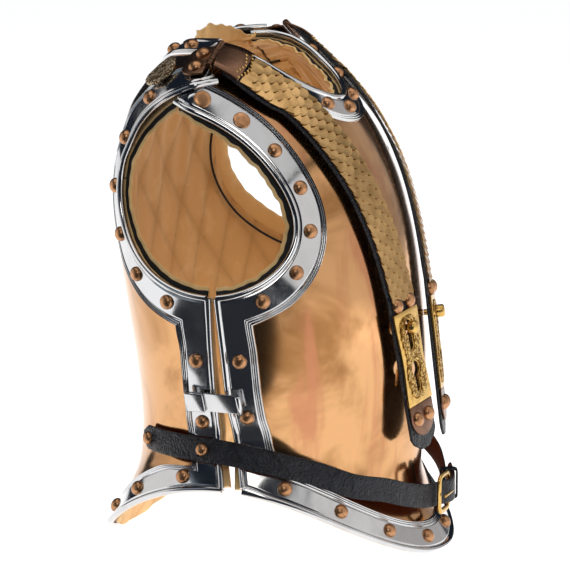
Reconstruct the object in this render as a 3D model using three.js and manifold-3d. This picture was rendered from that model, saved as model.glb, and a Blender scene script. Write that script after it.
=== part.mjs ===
// Heavy cavalry officer's cuirass: breast and back plates, steel borders, quilted lining,
// scale-covered shoulder straps, waist strap and side clips.
// Millimetres, +Z up, the wearer's front towards -Y and the wearer's right towards -X.
import * as THREE from 'three';
import { mergeVertices } from 'three/addons/utils/BufferGeometryUtils.js';
import Module from 'manifold-3d';

const wasm = await Module();
wasm.setup();

// ---- Torso form -------------------------------------------------------------------------
// One row per level. front/back: how far the middle of the breast and of the back lie from
// the side seam's plane. The powers say how pointed (under 2) or boxy (over 2) the section is.
// steps: grid rows between this level and the next.
const TORSO = [
  { z: 0, halfWidth: 163, front: -160, back: 157, frontPower: 1.85, backPower: 2.2, steps: 2 },
  { z: 18, halfWidth: 154, front: -149, back: 148, frontPower: 1.85, backPower: 2.2, steps: 2 },
  { z: 40, halfWidth: 146, front: -138.5, back: 137, frontPower: 1.85, backPower: 2.2, steps: 2 },
  { z: 70, halfWidth: 143, front: -131, back: 126.5, frontPower: 1.85, backPower: 2.2, steps: 2 },
  { z: 115, halfWidth: 150, front: -133, back: 123, frontPower: 1.85, backPower: 2.2, steps: 1 },
  { z: 165, halfWidth: 161, front: -134, back: 125.5, frontPower: 1.85, backPower: 2.2, steps: 1 },
  { z: 220, halfWidth: 171, front: -129, back: 132, frontPower: 1.85, backPower: 2.2, steps: 1 },
  { z: 275, halfWidth: 175, front: -120.5, back: 139.5, frontPower: 1.85, backPower: 2.2, steps: 1 },
  { z: 325, halfWidth: 174, front: -107, back: 143.5, frontPower: 1.85, backPower: 2.2, steps: 1 },
  { z: 368, halfWidth: 169, front: -88, back: 139.5, frontPower: 1.85, backPower: 2.2, steps: 2 },
  { z: 405, halfWidth: 161, front: -63, back: 125, frontPower: 1.85, backPower: 2.2, steps: 2 },
  { z: 434, halfWidth: 151, front: -33, back: 104, frontPower: 1.9, backPower: 2.15, steps: 2 },
  { z: 454, halfWidth: 142, front: -5, back: 82, frontPower: 1.95, backPower: 2.05, steps: 1 },
  { z: 461.5, halfWidth: 138, front: 15, back: 57, frontPower: 2, backPower: 2, steps: 1 },
  { z: 464, halfWidth: 135, front: 35, back: 35, frontPower: 2, backPower: 2, steps: 0 },
];
const ROUND_COUNT = 36; // grid columns round the body
const LINING_ROUND_COUNT = 20;
const HIP_ARCH = 76; // how far the lower edge rises over the hips
const HIP_ARCH_POWER = 2.2;
const HIP_ARCH_TOP = 200; // level at which the arch has died out
const SHOULDER_DROP = 0.003; // fall of the shoulders, per mm of width squared
const SHOULDER_DROP_FROM = 30; // half width of the level part at the neck
const SHOULDER_DROP_LEVELS = [330, 450];

// ---- Plates, borders and lining ---------------------------------------------------------
const PLATE_THICKNESS = 1.4;
const BORDER_GAP = 0.7; // borders lie this far off the plate they dress
const BORDER_TOP = 2.7;
const BEAD_TOP = 5.5; // the rolled lower rim stands this proud
const LINING_OUTER = -3.8;
const LINING_INNER = -7.6;
const LINING_REVEAL = 8; // the lining stands this far into the openings
const SHOULDER_LAP = 4.9; // the back plate lies this far outside the breastplate at the shoulders
const SHOULDER_LAP_LEVELS = [372, 410];
const ARM_BORDER_WIDTH = 32;
const NECK_BORDER_WIDTH = 28;
const WAIST_BORDER_TOP = 1.5; // in table rows above the rim
const RIM_TRIM = 1.6; // taken off the lowest rims so that they stand flat

// Openings: centre, half sizes, and how far the ellipse leans (mm of Y at its top)
const NECK_OPENING = { x: 0, y: 15, halfX: 65, halfY: 71 };
const BREAST_ARM_OPENING = { y: 55.6, z: 339.2, halfY: 107.8, halfZ: 87.1, lean: 42.1 };
const BACK_ARM_OPENING = { y: 1.8, z: 344.5, halfY: 107.6, halfZ: 92.4, lean: -4.9 };

// Side seams, from the rim up to the arm opening, as Y at each Z
const BREAST_SIDE_EDGE = [
  [-24, -20],
  [-18, 78],
  [-4, 127],
  [-4, 196],
  [1, 252],
];
const BACK_SIDE_EDGE = [
  [-8, -20],
  [0, 76],
  [11, 117],
  [8, 185],
  [8, 252],
];
// Mitres: where two borders meet, from the plate's edge to the inner corner
const BREAST_ARM_MITRE = { edge: [-1, 252], corner: [-30, 228] };
const BREAST_WAIST_MITRE = { edge: [-18, 78], corner: [-44, 92] };
const BACK_ARM_MITRE = { edge: [9, 252], corner: [42, 224] };
const BACK_WAIST_MITRE = { edge: [0, 76], corner: [34, 93] };
const MITRE_GAP = 0.4;
const SIDE_BORDER_LOW = 150; // a level well below the arm borders

// ---- Shoulder straps --------------------------------------------------------------------
// Middle line of the right strap: x off centre, then either y (on the shoulder, seen from
// above) or z (on the breast, seen from in front), and the lift of the leather off the plate.
const STRAP_PATH = [
  { x: 97, y: 18, lift: 8.2 },
  { x: 94.5, y: 8, lift: 6.6 },
  { x: 91, y: -6, lift: 4.8 },
  { x: 86.5, y: -20, lift: 4 },
  { x: 79.5, y: -34, lift: 4 },
  { x: 74, z: 392, lift: 4 },
  { x: 68, z: 365, lift: 4 },
  { x: 62, z: 342, lift: 4 },
  { x: 57, z: 320, lift: 4 },
  { x: 52, z: 298, lift: 4 },
  { x: 47, z: 272, lift: 4 },
  { x: 43.5, z: 250, lift: 4.4 },
];
const STRAP_HANG = { top: { x: 42, z: 240, lift: 5 }, tip: { x: 25.5, z: 98, lift: 18.8 } };
// What is cut off round the strap's tip, across and along
const TIP_CUT = [[-40, 0.5], [-40, -16], [-19, -16], [-6, 0], [6, 0], [19, -16], [40, -16], [40, 0.5]];
const STRAP_WIDTH = 44;
const STRAP_THICKNESS = 2.6;
const SCALE_WIDTH = 38;
const SCALE_COUNT = 27;
const SCALE_LOW = 0.9;
const SCALE_HIGH = 3.1;
const FIT_GAP = 0.4;
const ROOT_THICKNESS = 1.4;
const SLOTTED_PLATE = { from: 15, length: 87, width: 42, thickness: 2.4, waist: 37 };
const KEYHOLE = { radius: 7, slot: 7, length: 21, firstAt: 31, secondAt: 70 };
const END_PLATE = { from: 102.5, length: 30, width: 40, thickness: 2 };
const UPPER_STUDS = { at: 8.2, apart: 11 };
const LOWER_STUDS = { at: 115.5, apart: 10 };
const ANCHOR = { x: 106, y: 40, thickness: 1.6, studApart: 11, studAt: -2 };
const HINGE = { radius: 3.2, length: 40, inward: 6, at: -15.3 };
const ORNAMENT = { x: 102, y: 73, radius: 15, thickness: 3, lift: 1 };
const BUTTON = { neckRadius: 2.9, headRadius: 6, headHeight: 9 };
const STUD = { radius: 6.2, height: 4.6 };

// ---- Waist strap ------------------------------------------------------------------------
const BELT_WIDTH = 22;
const BELT_THICKNESS = 2.4;
// From the end on the back plate forwards: y or x chosen, the other found on the plate
const BELT_PATH = [
  { y: 90, z: 108.5, lift: 4.4 },
  { y: 68, z: 108, lift: 4.4 },
  { y: 45, z: 107.5, lift: 4.8 },
  { y: 22, z: 107, lift: 5 },
  { y: -3, z: 105, lift: 5.2 },
  { y: -29, z: 100, lift: 5.4 },
  { y: -52, z: 93.5, lift: 5.6 },
  { y: -72, z: 86.5, lift: 5.4 },
];
// Across the front it stands off the waist: x towards its own side, y, z, and how much it turns
const BELT_FRONT = {
  right: [
    { x: 108, y: -104, z: 76, turn: 0.9 },
    { x: 80, y: -126, z: 67.5, turn: 0.62 },
    { x: 58, y: -138, z: 59.5, turn: 0.45 },
    { x: 35, y: -147, z: 53.4, turn: 0.3 },
    { x: 18, y: -152.2, z: 51, turn: 0.15 },
    { x: 11, y: -152.8, z: 50.5, turn: 0 },
    { x: 3, y: -154.6, z: 50, turn: -0.1 },
    { x: -5, y: -158.4, z: 50, turn: -0.1 },
    { x: -12, y: -160.9, z: 50, turn: 0 },
    { x: -18, y: -160.7, z: 50.5, turn: 0 },
    { x: -30, y: -157.2, z: 52, turn: -0.35 },
    { x: -58, y: -144.2, z: 57.5, turn: -0.45 },
  ],
  left: [
    { x: 108, y: -104, z: 76, turn: 0.9 },
    { x: 80, y: -126, z: 67.5, turn: 0.62 },
    { x: 58, y: -138, z: 59.5, turn: 0.45 },
    { x: 35, y: -147, z: 53.4, turn: 0.35 },
    { x: 18.5, y: -151.5, z: 50.8, turn: 0.2 },
  ],
};
const BELT_STUD = { radius: 5.6, height: 4, base: 8.2 };
const BUCKLE = { halfLength: 14, halfHeight: 16.5, wire: 2, y: -158, z: 50 };
const PRONG = { y: -164.2, radius: 1.1, length: 26 };
const KEEPER = { x: 30, y: -153.8, z: 52, turn: 0.33, width: 9, inside: [25.2, 13.4], wall: 1.8 };

// ---- Small helpers ----------------------------------------------------------------------
const smoothstep = (t) => {
  const c = Math.min(1, Math.max(0, t));
  return c * c * (3 - 2 * c);
};
const between = (value, [low, high]) => smoothstep((value - low) / (high - low));

// Shape-keeping cubic through one column of the torso table, at a fractional row
function column(name, row) {
  const v = TORSO.map((level) => level[name]);
  const last = v.length - 1;
  const slope = (i) => v[i + 1] - v[i];
  const tangent = (i) => {
    if (i === 0 || i === last) {
      const near = slope(i === 0 ? 0 : last - 1);
      const next = slope(i === 0 ? 1 : last - 2);
      const end = (3 * near - next) / 2;
      if (end * near <= 0) return 0;
      return near * next < 0 && Math.abs(end) > 3 * Math.abs(near) ? 3 * near : end;
    }
    const a = slope(i - 1);
    const b = slope(i);
    return a * b > 0 ? (2 * a * b) / (a + b) : 0;
  };
  const i = Math.min(last - 1, Math.floor(row));
  const t = row - i;
  const h = t * t * (3 - 2 * t);
  return v[i] * (1 - h) + v[i + 1] * h + tangent(i) * t * (1 - t) ** 2 - tangent(i + 1) * t * t * (1 - t);
}

function torsoPoint(row, angle) {
  const z = column('z', row);
  const halfWidth = column('halfWidth', row);
  const front = column('front', row);
  const back = column('back', row);
  const middle = (front + back) / 2;
  const c = Math.cos(angle);
  const s = Math.sin(angle);
  const ahead = c > 0;
  const power = 2 / column(ahead ? 'frontPower' : 'backPower', row);
  const reach = (ahead ? front : back) - middle;
  const x = halfWidth * Math.sign(s) * Math.abs(s) ** power;
  const y = middle + reach * Math.abs(c) ** power;
  const arch = HIP_ARCH * Math.abs(x / halfWidth) ** HIP_ARCH_POWER * smoothstep(1 - z / HIP_ARCH_TOP);
  const wide = Math.max(0, Math.abs(x) - SHOULDER_DROP_FROM);
  const drop = SHOULDER_DROP * wide ** 2 * between(z, SHOULDER_DROP_LEVELS);
  return new THREE.Vector3(x, y, z + arch - drop);
}

function gridRows(coarse) {
  const rows = [];
  TORSO.forEach((level, i) => {
    const steps = coarse ? Math.min(1, level.steps) : level.steps;
    for (let k = 0; k < steps; k += 1) rows.push(i + k / steps);
  });
  rows.push(TORSO.length - 1);
  return rows;
}

// The torso as one indexed surface; the two halves of the top row are the same shoulder ridge
function torsoSurface(rows, count, closedTop) {
  const top = rows.length - 1;
  const index = (r, j) => {
    const turn = ((j % count) + count) % count;
    const isBack = turn > count / 4 && turn < (3 * count) / 4;
    return r * count + (closedTop && r === top && isBack ? (count / 2 - turn + count) % count : turn);
  };
  const points = rows.flatMap((row) =>
    Array.from({ length: count }, (_, j) => torsoPoint(row, (2 * Math.PI * j) / count))
  );
  const faces = [];
  for (let r = 0; r < top; r += 1) {
    for (let j = 0; j < count; j += 1) {
      faces.push([index(r, j), index(r, j + 1), index(r + 1, j + 1)]);
      faces.push([index(r, j), index(r + 1, j + 1), index(r + 1, j)]);
    }
  }
  const real = faces.filter(([a, b, c]) => a !== b && b !== c && c !== a);
  const geometry = new THREE.BufferGeometry();
  geometry.setAttribute('position', new THREE.Float32BufferAttribute(points.flatMap((p) => p.toArray()), 3));
  geometry.setIndex(real.flat());
  geometry.computeVertexNormals();
  const normalAt = (i) => new THREE.Vector3().fromBufferAttribute(geometry.attributes.normal, i);
  const normals = points.map((_, i) => normalAt(i));
  return { points, normals, faces: real, geometry, index, top, count };
}

// A closed solid from points and outward triangles
function solid(points, faces) {
  const geometry = new THREE.BufferGeometry();
  geometry.setAttribute('position', new THREE.Float32BufferAttribute(points.flatMap((p) => p.toArray()), 3));
  geometry.setIndex(faces.flat());
  return toSolid(geometry);
}

function toSolid(source) {
  const geometry = source.clone();
  geometry.deleteAttribute('normal');
  geometry.deleteAttribute('uv');
  const merged = mergeVertices(geometry, 1e-4);
  const mesh = new wasm.Mesh({
    numProp: 3,
    vertProperties: new Float32Array(merged.attributes.position.array),
    triVerts: new Uint32Array(merged.index.array),
  });
  return new wasm.Manifold(mesh);
}

// A shell that follows the torso between two offsets (numbers, or functions of row and point)
function torsoShell(surface, inner, outer, closedTop = true) {
  const { points, normals, faces, index, top, count } = surface;
  const offset = (by, i) => {
    const amount = typeof by === 'function' ? by(Math.floor(i / count), points[i]) : by;
    return points[i].clone().addScaledVector(normals[i], amount);
  };
  const all = [...points.map((_, i) => offset(outer, i)), ...points.map((_, i) => offset(inner, i))];
  const n = points.length;
  const tris = [...faces, ...faces.map(([a, b, c]) => [a + n, c + n, b + n])];
  for (let j = 0; j < count; j += 1) {
    const [a, b] = [index(0, j), index(0, j + 1)];
    tris.push([a + n, b + n, b], [a + n, b, a]);
    if (!closedTop) {
      const [c, d] = [index(top, j), index(top, j + 1)];
      tris.push([c, d, d + n], [c, d + n, c + n]);
    }
  }
  return solid(all, tris);
}

// Prism of a [y, z] outline, running along X
function prismX(outline, from = -300, to = 300) {
  const shape = new THREE.Shape(outline.map(([y, z]) => new THREE.Vector2(y, z)));
  const geometry = new THREE.ExtrudeGeometry(shape, { depth: to - from, bevelEnabled: false });
  const axes = new THREE.Matrix4().set(0, 0, 1, from, 1, 0, 0, 0, 0, 1, 0, 0, 0, 0, 0, 1);
  return toSolid(geometry.applyMatrix4(axes));
}

// Prism of an [x, y] outline, running along Z
function prismZ(outline, from, to) {
  const shape = new THREE.Shape(outline.map(([x, y]) => new THREE.Vector2(x, y)));
  const geometry = new THREE.ExtrudeGeometry(shape, { depth: to - from, bevelEnabled: false });
  return toSolid(geometry.translate(0, 0, from));
}

function armOutline({ y, z, halfY, halfZ, lean }, inset = 0, count = 28) {
  return Array.from({ length: count }, (_, k) => {
    const a = (2 * Math.PI * k) / count;
    return [y + lean * Math.sin(a) + (halfY - inset) * Math.cos(a), z + (halfZ - inset) * Math.sin(a)];
  });
}

function neckOutline({ x, y, halfX, halfY }, inset = 0, count = 28) {
  return Array.from({ length: count }, (_, k) => {
    const a = (2 * Math.PI * k) / count;
    return [x + (halfX - inset) * Math.cos(a), y + (halfY - inset) * Math.sin(a)];
  });
}

// ---- The torso, and finding places on it ------------------------------------------------
const fine = torsoSurface(gridRows(false), ROUND_COUNT, true);
const coarse = torsoSurface(gridRows(true), LINING_ROUND_COUNT, true);
const target = new THREE.Mesh(fine.geometry, new THREE.MeshBasicMaterial({ side: THREE.DoubleSide }));
target.updateMatrixWorld(true);
const FAR = 400;

// Where the torso is met: from above (x, y given), from in front (x, z) or from a side (y, z)
function onTorso({ x, y, z, lift = 0 }, side) {
  const ray = new THREE.Raycaster();
  if (z === undefined) ray.set(new THREE.Vector3(side * x, y, FAR * 2), new THREE.Vector3(0, 0, -1));
  else if (y === undefined) ray.set(new THREE.Vector3(side * x, -FAR, z), new THREE.Vector3(0, 1, 0));
  else ray.set(new THREE.Vector3(side * FAR, y, z), new THREE.Vector3(-side, 0, 0));
  const hit = ray.intersectObject(target)[0];
  if (!hit) return undefined;
  const normal = hit.normal.clone().normalize();
  return { point: hit.point.clone().addScaledVector(normal, lift), normal };
}

// Right-handed frame: across, along, up
function makeFrame(point, along, up) {
  const across = new THREE.Vector3().crossVectors(along, up).normalize();
  return { point, along, across, up: new THREE.Vector3().crossVectors(across, along).normalize() };
}

// Ribbon frames at equal steps along places; up is the side away from the plate
function frames(places, count) {
  const line = new THREE.CatmullRomCurve3(places.map((p) => p.point));
  const ups = new THREE.CatmullRomCurve3(places.map((p) => p.normal));
  return Array.from({ length: count + 1 }, (_, k) => {
    const t = line.getUtoTmapping(k / count);
    return makeFrame(line.getPoint(t), line.getTangent(t), ups.getPoint(t));
  });
}

// Frame flat on the torso, its along as near as can be to a wanted direction
function uprightFrame({ point, normal }, wanted) {
  const along = wanted.clone().addScaledVector(normal, -normal.dot(wanted)).normalize();
  return makeFrame(point, along, normal);
}

// Solid ribbon: width, underside and top measured in each frame
function ribbon(stations, width, under, topOf) {
  const at = ({ point, across, up }, w, h) =>
    point.clone().addScaledVector(across, w).addScaledVector(up, h);
  const points = stations.flatMap((f, k) => {
    const top = typeof topOf === 'function' ? topOf(k) : topOf;
    return [at(f, -width / 2, under), at(f, width / 2, under), at(f, width / 2, top), at(f, -width / 2, top)];
  });
  const faces = [];
  for (let k = 0; k + 1 < stations.length; k += 1) {
    for (let e = 0; e < 4; e += 1) {
      const [a, b] = [4 * k + e, 4 * k + ((e + 1) % 4)];
      // top and underside are split along the same diagonal, so stacked ribbons stay apart
      if (e === 2) faces.push([a, a + 4, b], [a + 4, b + 4, b]);
      else faces.push([a, b + 4, b], [a, a + 4, b + 4]);
    }
  }
  const end = 4 * (stations.length - 1);
  faces.push([0, 1, 2], [0, 2, 3], [end, end + 2, end + 1], [end, end + 3, end + 2]);
  return solid(points, faces);
}

// Matrix of a frame: local x across, local y along, local z up
function frameMatrix({ point, across, along, up }) {
  return new THREE.Matrix4().makeBasis(across, along, up).setPosition(point);
}

function placeOn(frame, geometry) {
  return toSolid(geometry.clone().applyMatrix4(frameMatrix(frame)));
}

function flatPlate(outline, holes, thickness, base) {
  const shape = new THREE.Shape(outline.map(([x, y]) => new THREE.Vector2(x, y)));
  holes.forEach((hole) => shape.holes.push(new THREE.Path(hole.map(([x, y]) => new THREE.Vector2(x, y)))));
  return new THREE.ExtrudeGeometry(shape, { depth: thickness, bevelEnabled: false }).translate(0, 0, base);
}

function turned(profile, count = 12) {
  const line = profile.map(([r, h]) => new THREE.Vector2(r, h));
  return new THREE.LatheGeometry(line, count).rotateX(Math.PI / 2);
}

// Domed stud standing on local z = base
function dome({ radius, height }, base) {
  const steps = 3;
  const arc = Array.from({ length: steps }, (_, k) => {
    const a = (k * Math.PI) / 2 / steps;
    return [radius * Math.cos(a), base + height * Math.sin(a)];
  });
  return turned([[0, base], ...arc, [0, base + height]], 10);
}

// ---- Assembly ---------------------------------------------------------------------------
const group = new THREE.Group();
const FINISH = {
  brass: { color: 0xc9a45a, roughness: 0.28, metalness: 1 },
  steel: { color: 0xb9bcc0, roughness: 0.22, metalness: 1 },
  gilt: { color: 0xd9a73c, roughness: 0.35, metalness: 1 },
  copper: { color: 0xc98a5e, roughness: 0.25, metalness: 1 },
  bronze: { color: 0x7b5a36, roughness: 0.45, metalness: 1 },
  blackLeather: { color: 0x23252b, roughness: 0.55, metalness: 0 },
  lining: { color: 0xb9824f, roughness: 0.8, metalness: 0 },
};
const trimBox = prismZ([[-FAR, -FAR], [FAR, -FAR], [FAR, FAR], [-FAR, FAR]], -FAR, RIM_TRIM);

function add(name, body, finish) {
  const { vertProperties, triVerts } = body.getMesh();
  const geometry = new THREE.BufferGeometry();
  geometry.setAttribute('position', new THREE.Float32BufferAttribute(vertProperties, 3));
  geometry.setIndex(Array.from(triVerts));
  geometry.translate(0, 0, -RIM_TRIM);
  geometry.computeVertexNormals();
  const mesh = new THREE.Mesh(geometry, new THREE.MeshStandardMaterial(FINISH[finish]));
  mesh.name = name;
  group.add(mesh);
}

const SIDES = [
  { name: 'right', sign: -1 },
  { name: 'left', sign: 1 },
];
const shoulderLap = (point) => SHOULDER_LAP * between(point.z, SHOULDER_LAP_LEVELS);
const lapped = (amount) => (_, point) => amount + shoulderLap(point);

// Which part of the torso belongs to the breast and which to the back
const breastRegion = prismX([
  ...BREAST_SIDE_EDGE,
  [1, 300],
  [30, 330],
  [55, 345],
  [55, 520],
  [-FAR, 520],
  [-FAR, -20],
]);
const backRegion = prismX([[FAR, -20], [FAR, 345], [8, 345], ...[...BACK_SIDE_EDGE].reverse()]).add(
  prismZ(
    [
      [-220, -3],
      [-127, 20],
      [-66, 35],
      [66, 35],
      [127, 20],
      [220, -3],
      [220, FAR],
      [-220, FAR],
    ],
    335,
    520
  )
);
const neckHole = prismZ(neckOutline(NECK_OPENING), 330, 520);
const breastArmHoles = prismX(armOutline(BREAST_ARM_OPENING));
const backArmHoles = prismX(armOutline(BACK_ARM_OPENING));

const breastPart = (body) => body.intersect(breastRegion).subtract(neckHole).subtract(breastArmHoles);
const backPart = (body) => body.intersect(backRegion).subtract(neckHole).subtract(backArmHoles);

add('breastplate', breastPart(torsoShell(fine, -PLATE_THICKNESS, 0)).subtract(trimBox), 'brass');
add('backplate', backPart(torsoShell(fine, lapped(-PLATE_THICKNESS), lapped(0))).subtract(trimBox), 'brass');

// Linings: a quilted leather layer inside each plate, showing in the arm and neck openings
const liningShell = torsoShell(coarse, LINING_INNER, LINING_OUTER);
const liningNeck = prismZ(neckOutline(NECK_OPENING, LINING_REVEAL), 330, 520);
const liningRim = prismZ([[-FAR, -FAR], [FAR, -FAR], [FAR, FAR], [-FAR, FAR]], -FAR, 2 * RIM_TRIM + 2);
const breastLiningEdge = [[-24, -20], [-10, 78], [-1, 127], [-1, 300], [54, 345], [54, 520]];
const breastLiningRegion = prismX([[-FAR, -20], ...breastLiningEdge, [-FAR, 520]]);
const backLiningEdge = [[56, 520], [56, 345], [6, 300], [6, 117], [-8, 76], [-8, -20]];
const backLiningRegion = prismX([[FAR, -20], [FAR, 520], ...backLiningEdge]);
add(
  'breast_lining',
  liningShell
    .intersect(breastLiningRegion)
    .subtract(liningNeck)
    .subtract(prismX(armOutline(BREAST_ARM_OPENING, LINING_REVEAL)))
    .subtract(liningRim),
  'lining'
);
add(
  'back_lining',
  liningShell
    .intersect(backLiningRegion)
    .subtract(liningNeck)
    .subtract(prismX(armOutline(BACK_ARM_OPENING, LINING_REVEAL)))
    .subtract(liningRim),
  'lining'
);

// Borders: bands of one width that follow an opening's edge, met by a fat pipe along that edge
const PIPE_SIDES = 16;
function edgePipe(places, radius) {
  const count = places.length;
  const points = places.flatMap(({ point, normal }, k) => {
    const [before, after] = [places[(k + count - 1) % count], places[(k + 1) % count]];
    const along = after.point.clone().sub(before.point).normalize();
    const { across, up } = makeFrame(point, along, normal);
    return Array.from({ length: PIPE_SIDES }, (_, e) => {
      const a = (2 * Math.PI * e) / PIPE_SIDES;
      const [out, over] = [radius * Math.cos(a), radius * Math.sin(a)];
      return point.clone().addScaledVector(across, out).addScaledVector(up, over);
    });
  });
  const faces = [];
  for (let k = 0; k < count; k += 1) {
    for (let e = 0; e < PIPE_SIDES; e += 1) {
      const next = (e + 1) % PIPE_SIDES;
      const [a, b] = [k * PIPE_SIDES + e, k * PIPE_SIDES + next];
      const shift = (((k + 1) % count) - k) * PIPE_SIDES;
      faces.push([a, b + shift, b], [a, a + shift, b + shift]);
    }
  }
  return solid(points, faces);
}
const breastBorderShell = torsoShell(fine, BORDER_GAP, BORDER_TOP);
const backBorderShell = torsoShell(fine, lapped(BORDER_GAP), lapped(BORDER_TOP));
const neckEdge = neckOutline(NECK_OPENING, 0, 24).map(([x, y]) => onTorso({ x, y }, 1));
const neckPipe = edgePipe(neckEdge, NECK_BORDER_WIDTH);
// Everything below an arm border's mitre line, with the gap
const belowMitre = (mitre) => {
  const [ey, ez] = mitre.edge;
  const [cy, cz] = mitre.corner;
  const beyond = [cy + (cy - ey) * 0.6, cz + (cz - ez) * 0.6 + MITRE_GAP];
  const before = [ey - (cy - ey) * 0.2, ez - (cz - ez) * 0.2 + MITRE_GAP];
  return prismX([before, beyond, [beyond[0], SIDE_BORDER_LOW], [before[0], SIDE_BORDER_LOW]]);
};

// The largest of a cut's bodies: the band without the crumbs a cut can leave at an edge
const mainBody = (body) => body.decompose().sort((a, b) => b.volume() - a.volume())[0];

add('breast_neck_border', breastPart(breastBorderShell.intersect(neckPipe)), 'steel');
add('back_neck_border', backPart(backBorderShell.intersect(neckPipe)), 'steel');

// Places along an arm opening's edge, kept to those that lie on the torso
function armEdge({ opening, reach }, sign) {
  const outline = armOutline(opening, 0, 32).filter(([y]) => y > reach[0] && y < reach[1]);
  return outline.map(([y, z]) => onTorso({ y, z }, sign)).filter(Boolean);
}

const BORDER_SETS = [
  {
    name: 'breast',
    part: breastPart,
    shell: breastBorderShell,
    opening: BREAST_ARM_OPENING,
    reach: [-FAR, 60],
    armMitre: BREAST_ARM_MITRE,
    waistMitre: BREAST_WAIST_MITRE,
    edge: BREAST_SIDE_EDGE,
    outer: [
      [-43, 106],
      [-40, 169],
      [-34, 223],
    ],
  },
  {
    name: 'back',
    part: backPart,
    shell: backBorderShell,
    opening: BACK_ARM_OPENING,
    reach: [0, FAR],
    armMitre: BACK_ARM_MITRE,
    waistMitre: BACK_WAIST_MITRE,
    edge: BACK_SIDE_EDGE,
    outer: [
      [36, 106],
      [41, 152],
      [42, 215],
    ],
  },
];

// The lower border follows the rim and ends in a rolled bead
const waistRows = [0, 0.3, 0.38, 1, WAIST_BORDER_TOP];
const waistSurface = torsoSurface(waistRows, ROUND_COUNT, false);
const waistShell = torsoShell(
  waistSurface,
  BORDER_GAP,
  (row) => (row < 2 ? BEAD_TOP : BORDER_TOP),
  false
);

for (const set of BORDER_SETS) {
  const seam = set.edge.slice(1);
  const sideOutline = [...seam, set.armMitre.corner, ...[...set.outer].reverse(), set.waistMitre.corner];
  for (const side of SIDES) {
    const from = side.sign < 0 ? -FAR : 60;
    const to = side.sign < 0 ? -60 : FAR;
    const half = prismX([[-FAR, -20], [FAR, -20], [FAR, 520], [-FAR, 520]], from, to);
    const pipe = edgePipe(armEdge(set, side.sign), ARM_BORDER_WIDTH);
    const arm = set.part(set.shell.intersect(half).intersect(pipe));
    add(`${set.name}_arm_border_${side.name}`, mainBody(arm.subtract(belowMitre(set.armMitre))), 'steel');
    const sideBand = set.part(set.shell.intersect(half)).intersect(prismX(sideOutline, from, to));
    add(`${set.name}_side_border_${side.name}`, sideBand, 'steel');
  }
  const [ey, ez] = set.waistMitre.edge;
  const [cy, cz] = set.waistMitre.corner;
  const aboveMitre = prismX([
    [ey - (cy - ey) * 0.3, ez - (cz - ez) * 0.3 - MITRE_GAP],
    [cy + (cy - ey) * 0.3, cz + (cz - ez) * 0.3 - MITRE_GAP],
    [cy + (cy - ey) * 0.3, cz + 60],
    [ey - (cy - ey) * 0.3, cz + 60],
  ]);
  add(`${set.name}_waist_border`, set.part(waistShell).subtract(aboveMitre).subtract(trimBox), 'steel');
}

// Side clips: a bracket on the back plate's side border and a sprung tongue over the seam
const CLIP = {
  y: 8,
  z: 157,
  height: 20,
  base: 4.6,
  bracket: [9, 27, 3.8],
  tongue: [-25, 8.6, 1.6],
  roll: 2.3,
};
for (const side of SIDES) {
  const frame = uprightFrame(onTorso({ y: CLIP.y, z: CLIP.z }, side.sign), new THREE.Vector3(0, 0, 1));
  const flip = Math.sign(frame.across.y); // the bracket lies to the back on both sides
  const slab = ([from, to, thick], base) => {
    const xs = [flip * from, flip * to].sort((a, b) => a - b);
    const h = CLIP.height / 2;
    return flatPlate([[xs[0], -h], [xs[1], -h], [xs[1], h], [xs[0], h]], [], thick, base);
  };
  const roll = new THREE.CylinderGeometry(CLIP.roll, CLIP.roll, CLIP.height, 12).translate(
    flip * CLIP.tongue[0],
    0,
    CLIP.base + CLIP.roll
  );
  add(`side_clip_bracket_${side.name}`, placeOn(frame, slab(CLIP.bracket, CLIP.base)), 'steel');
  const tongue = placeOn(frame, slab(CLIP.tongue, CLIP.base)).add(placeOn(frame, roll));
  add(`side_clip_tongue_${side.name}`, tongue, 'steel');
}

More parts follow.
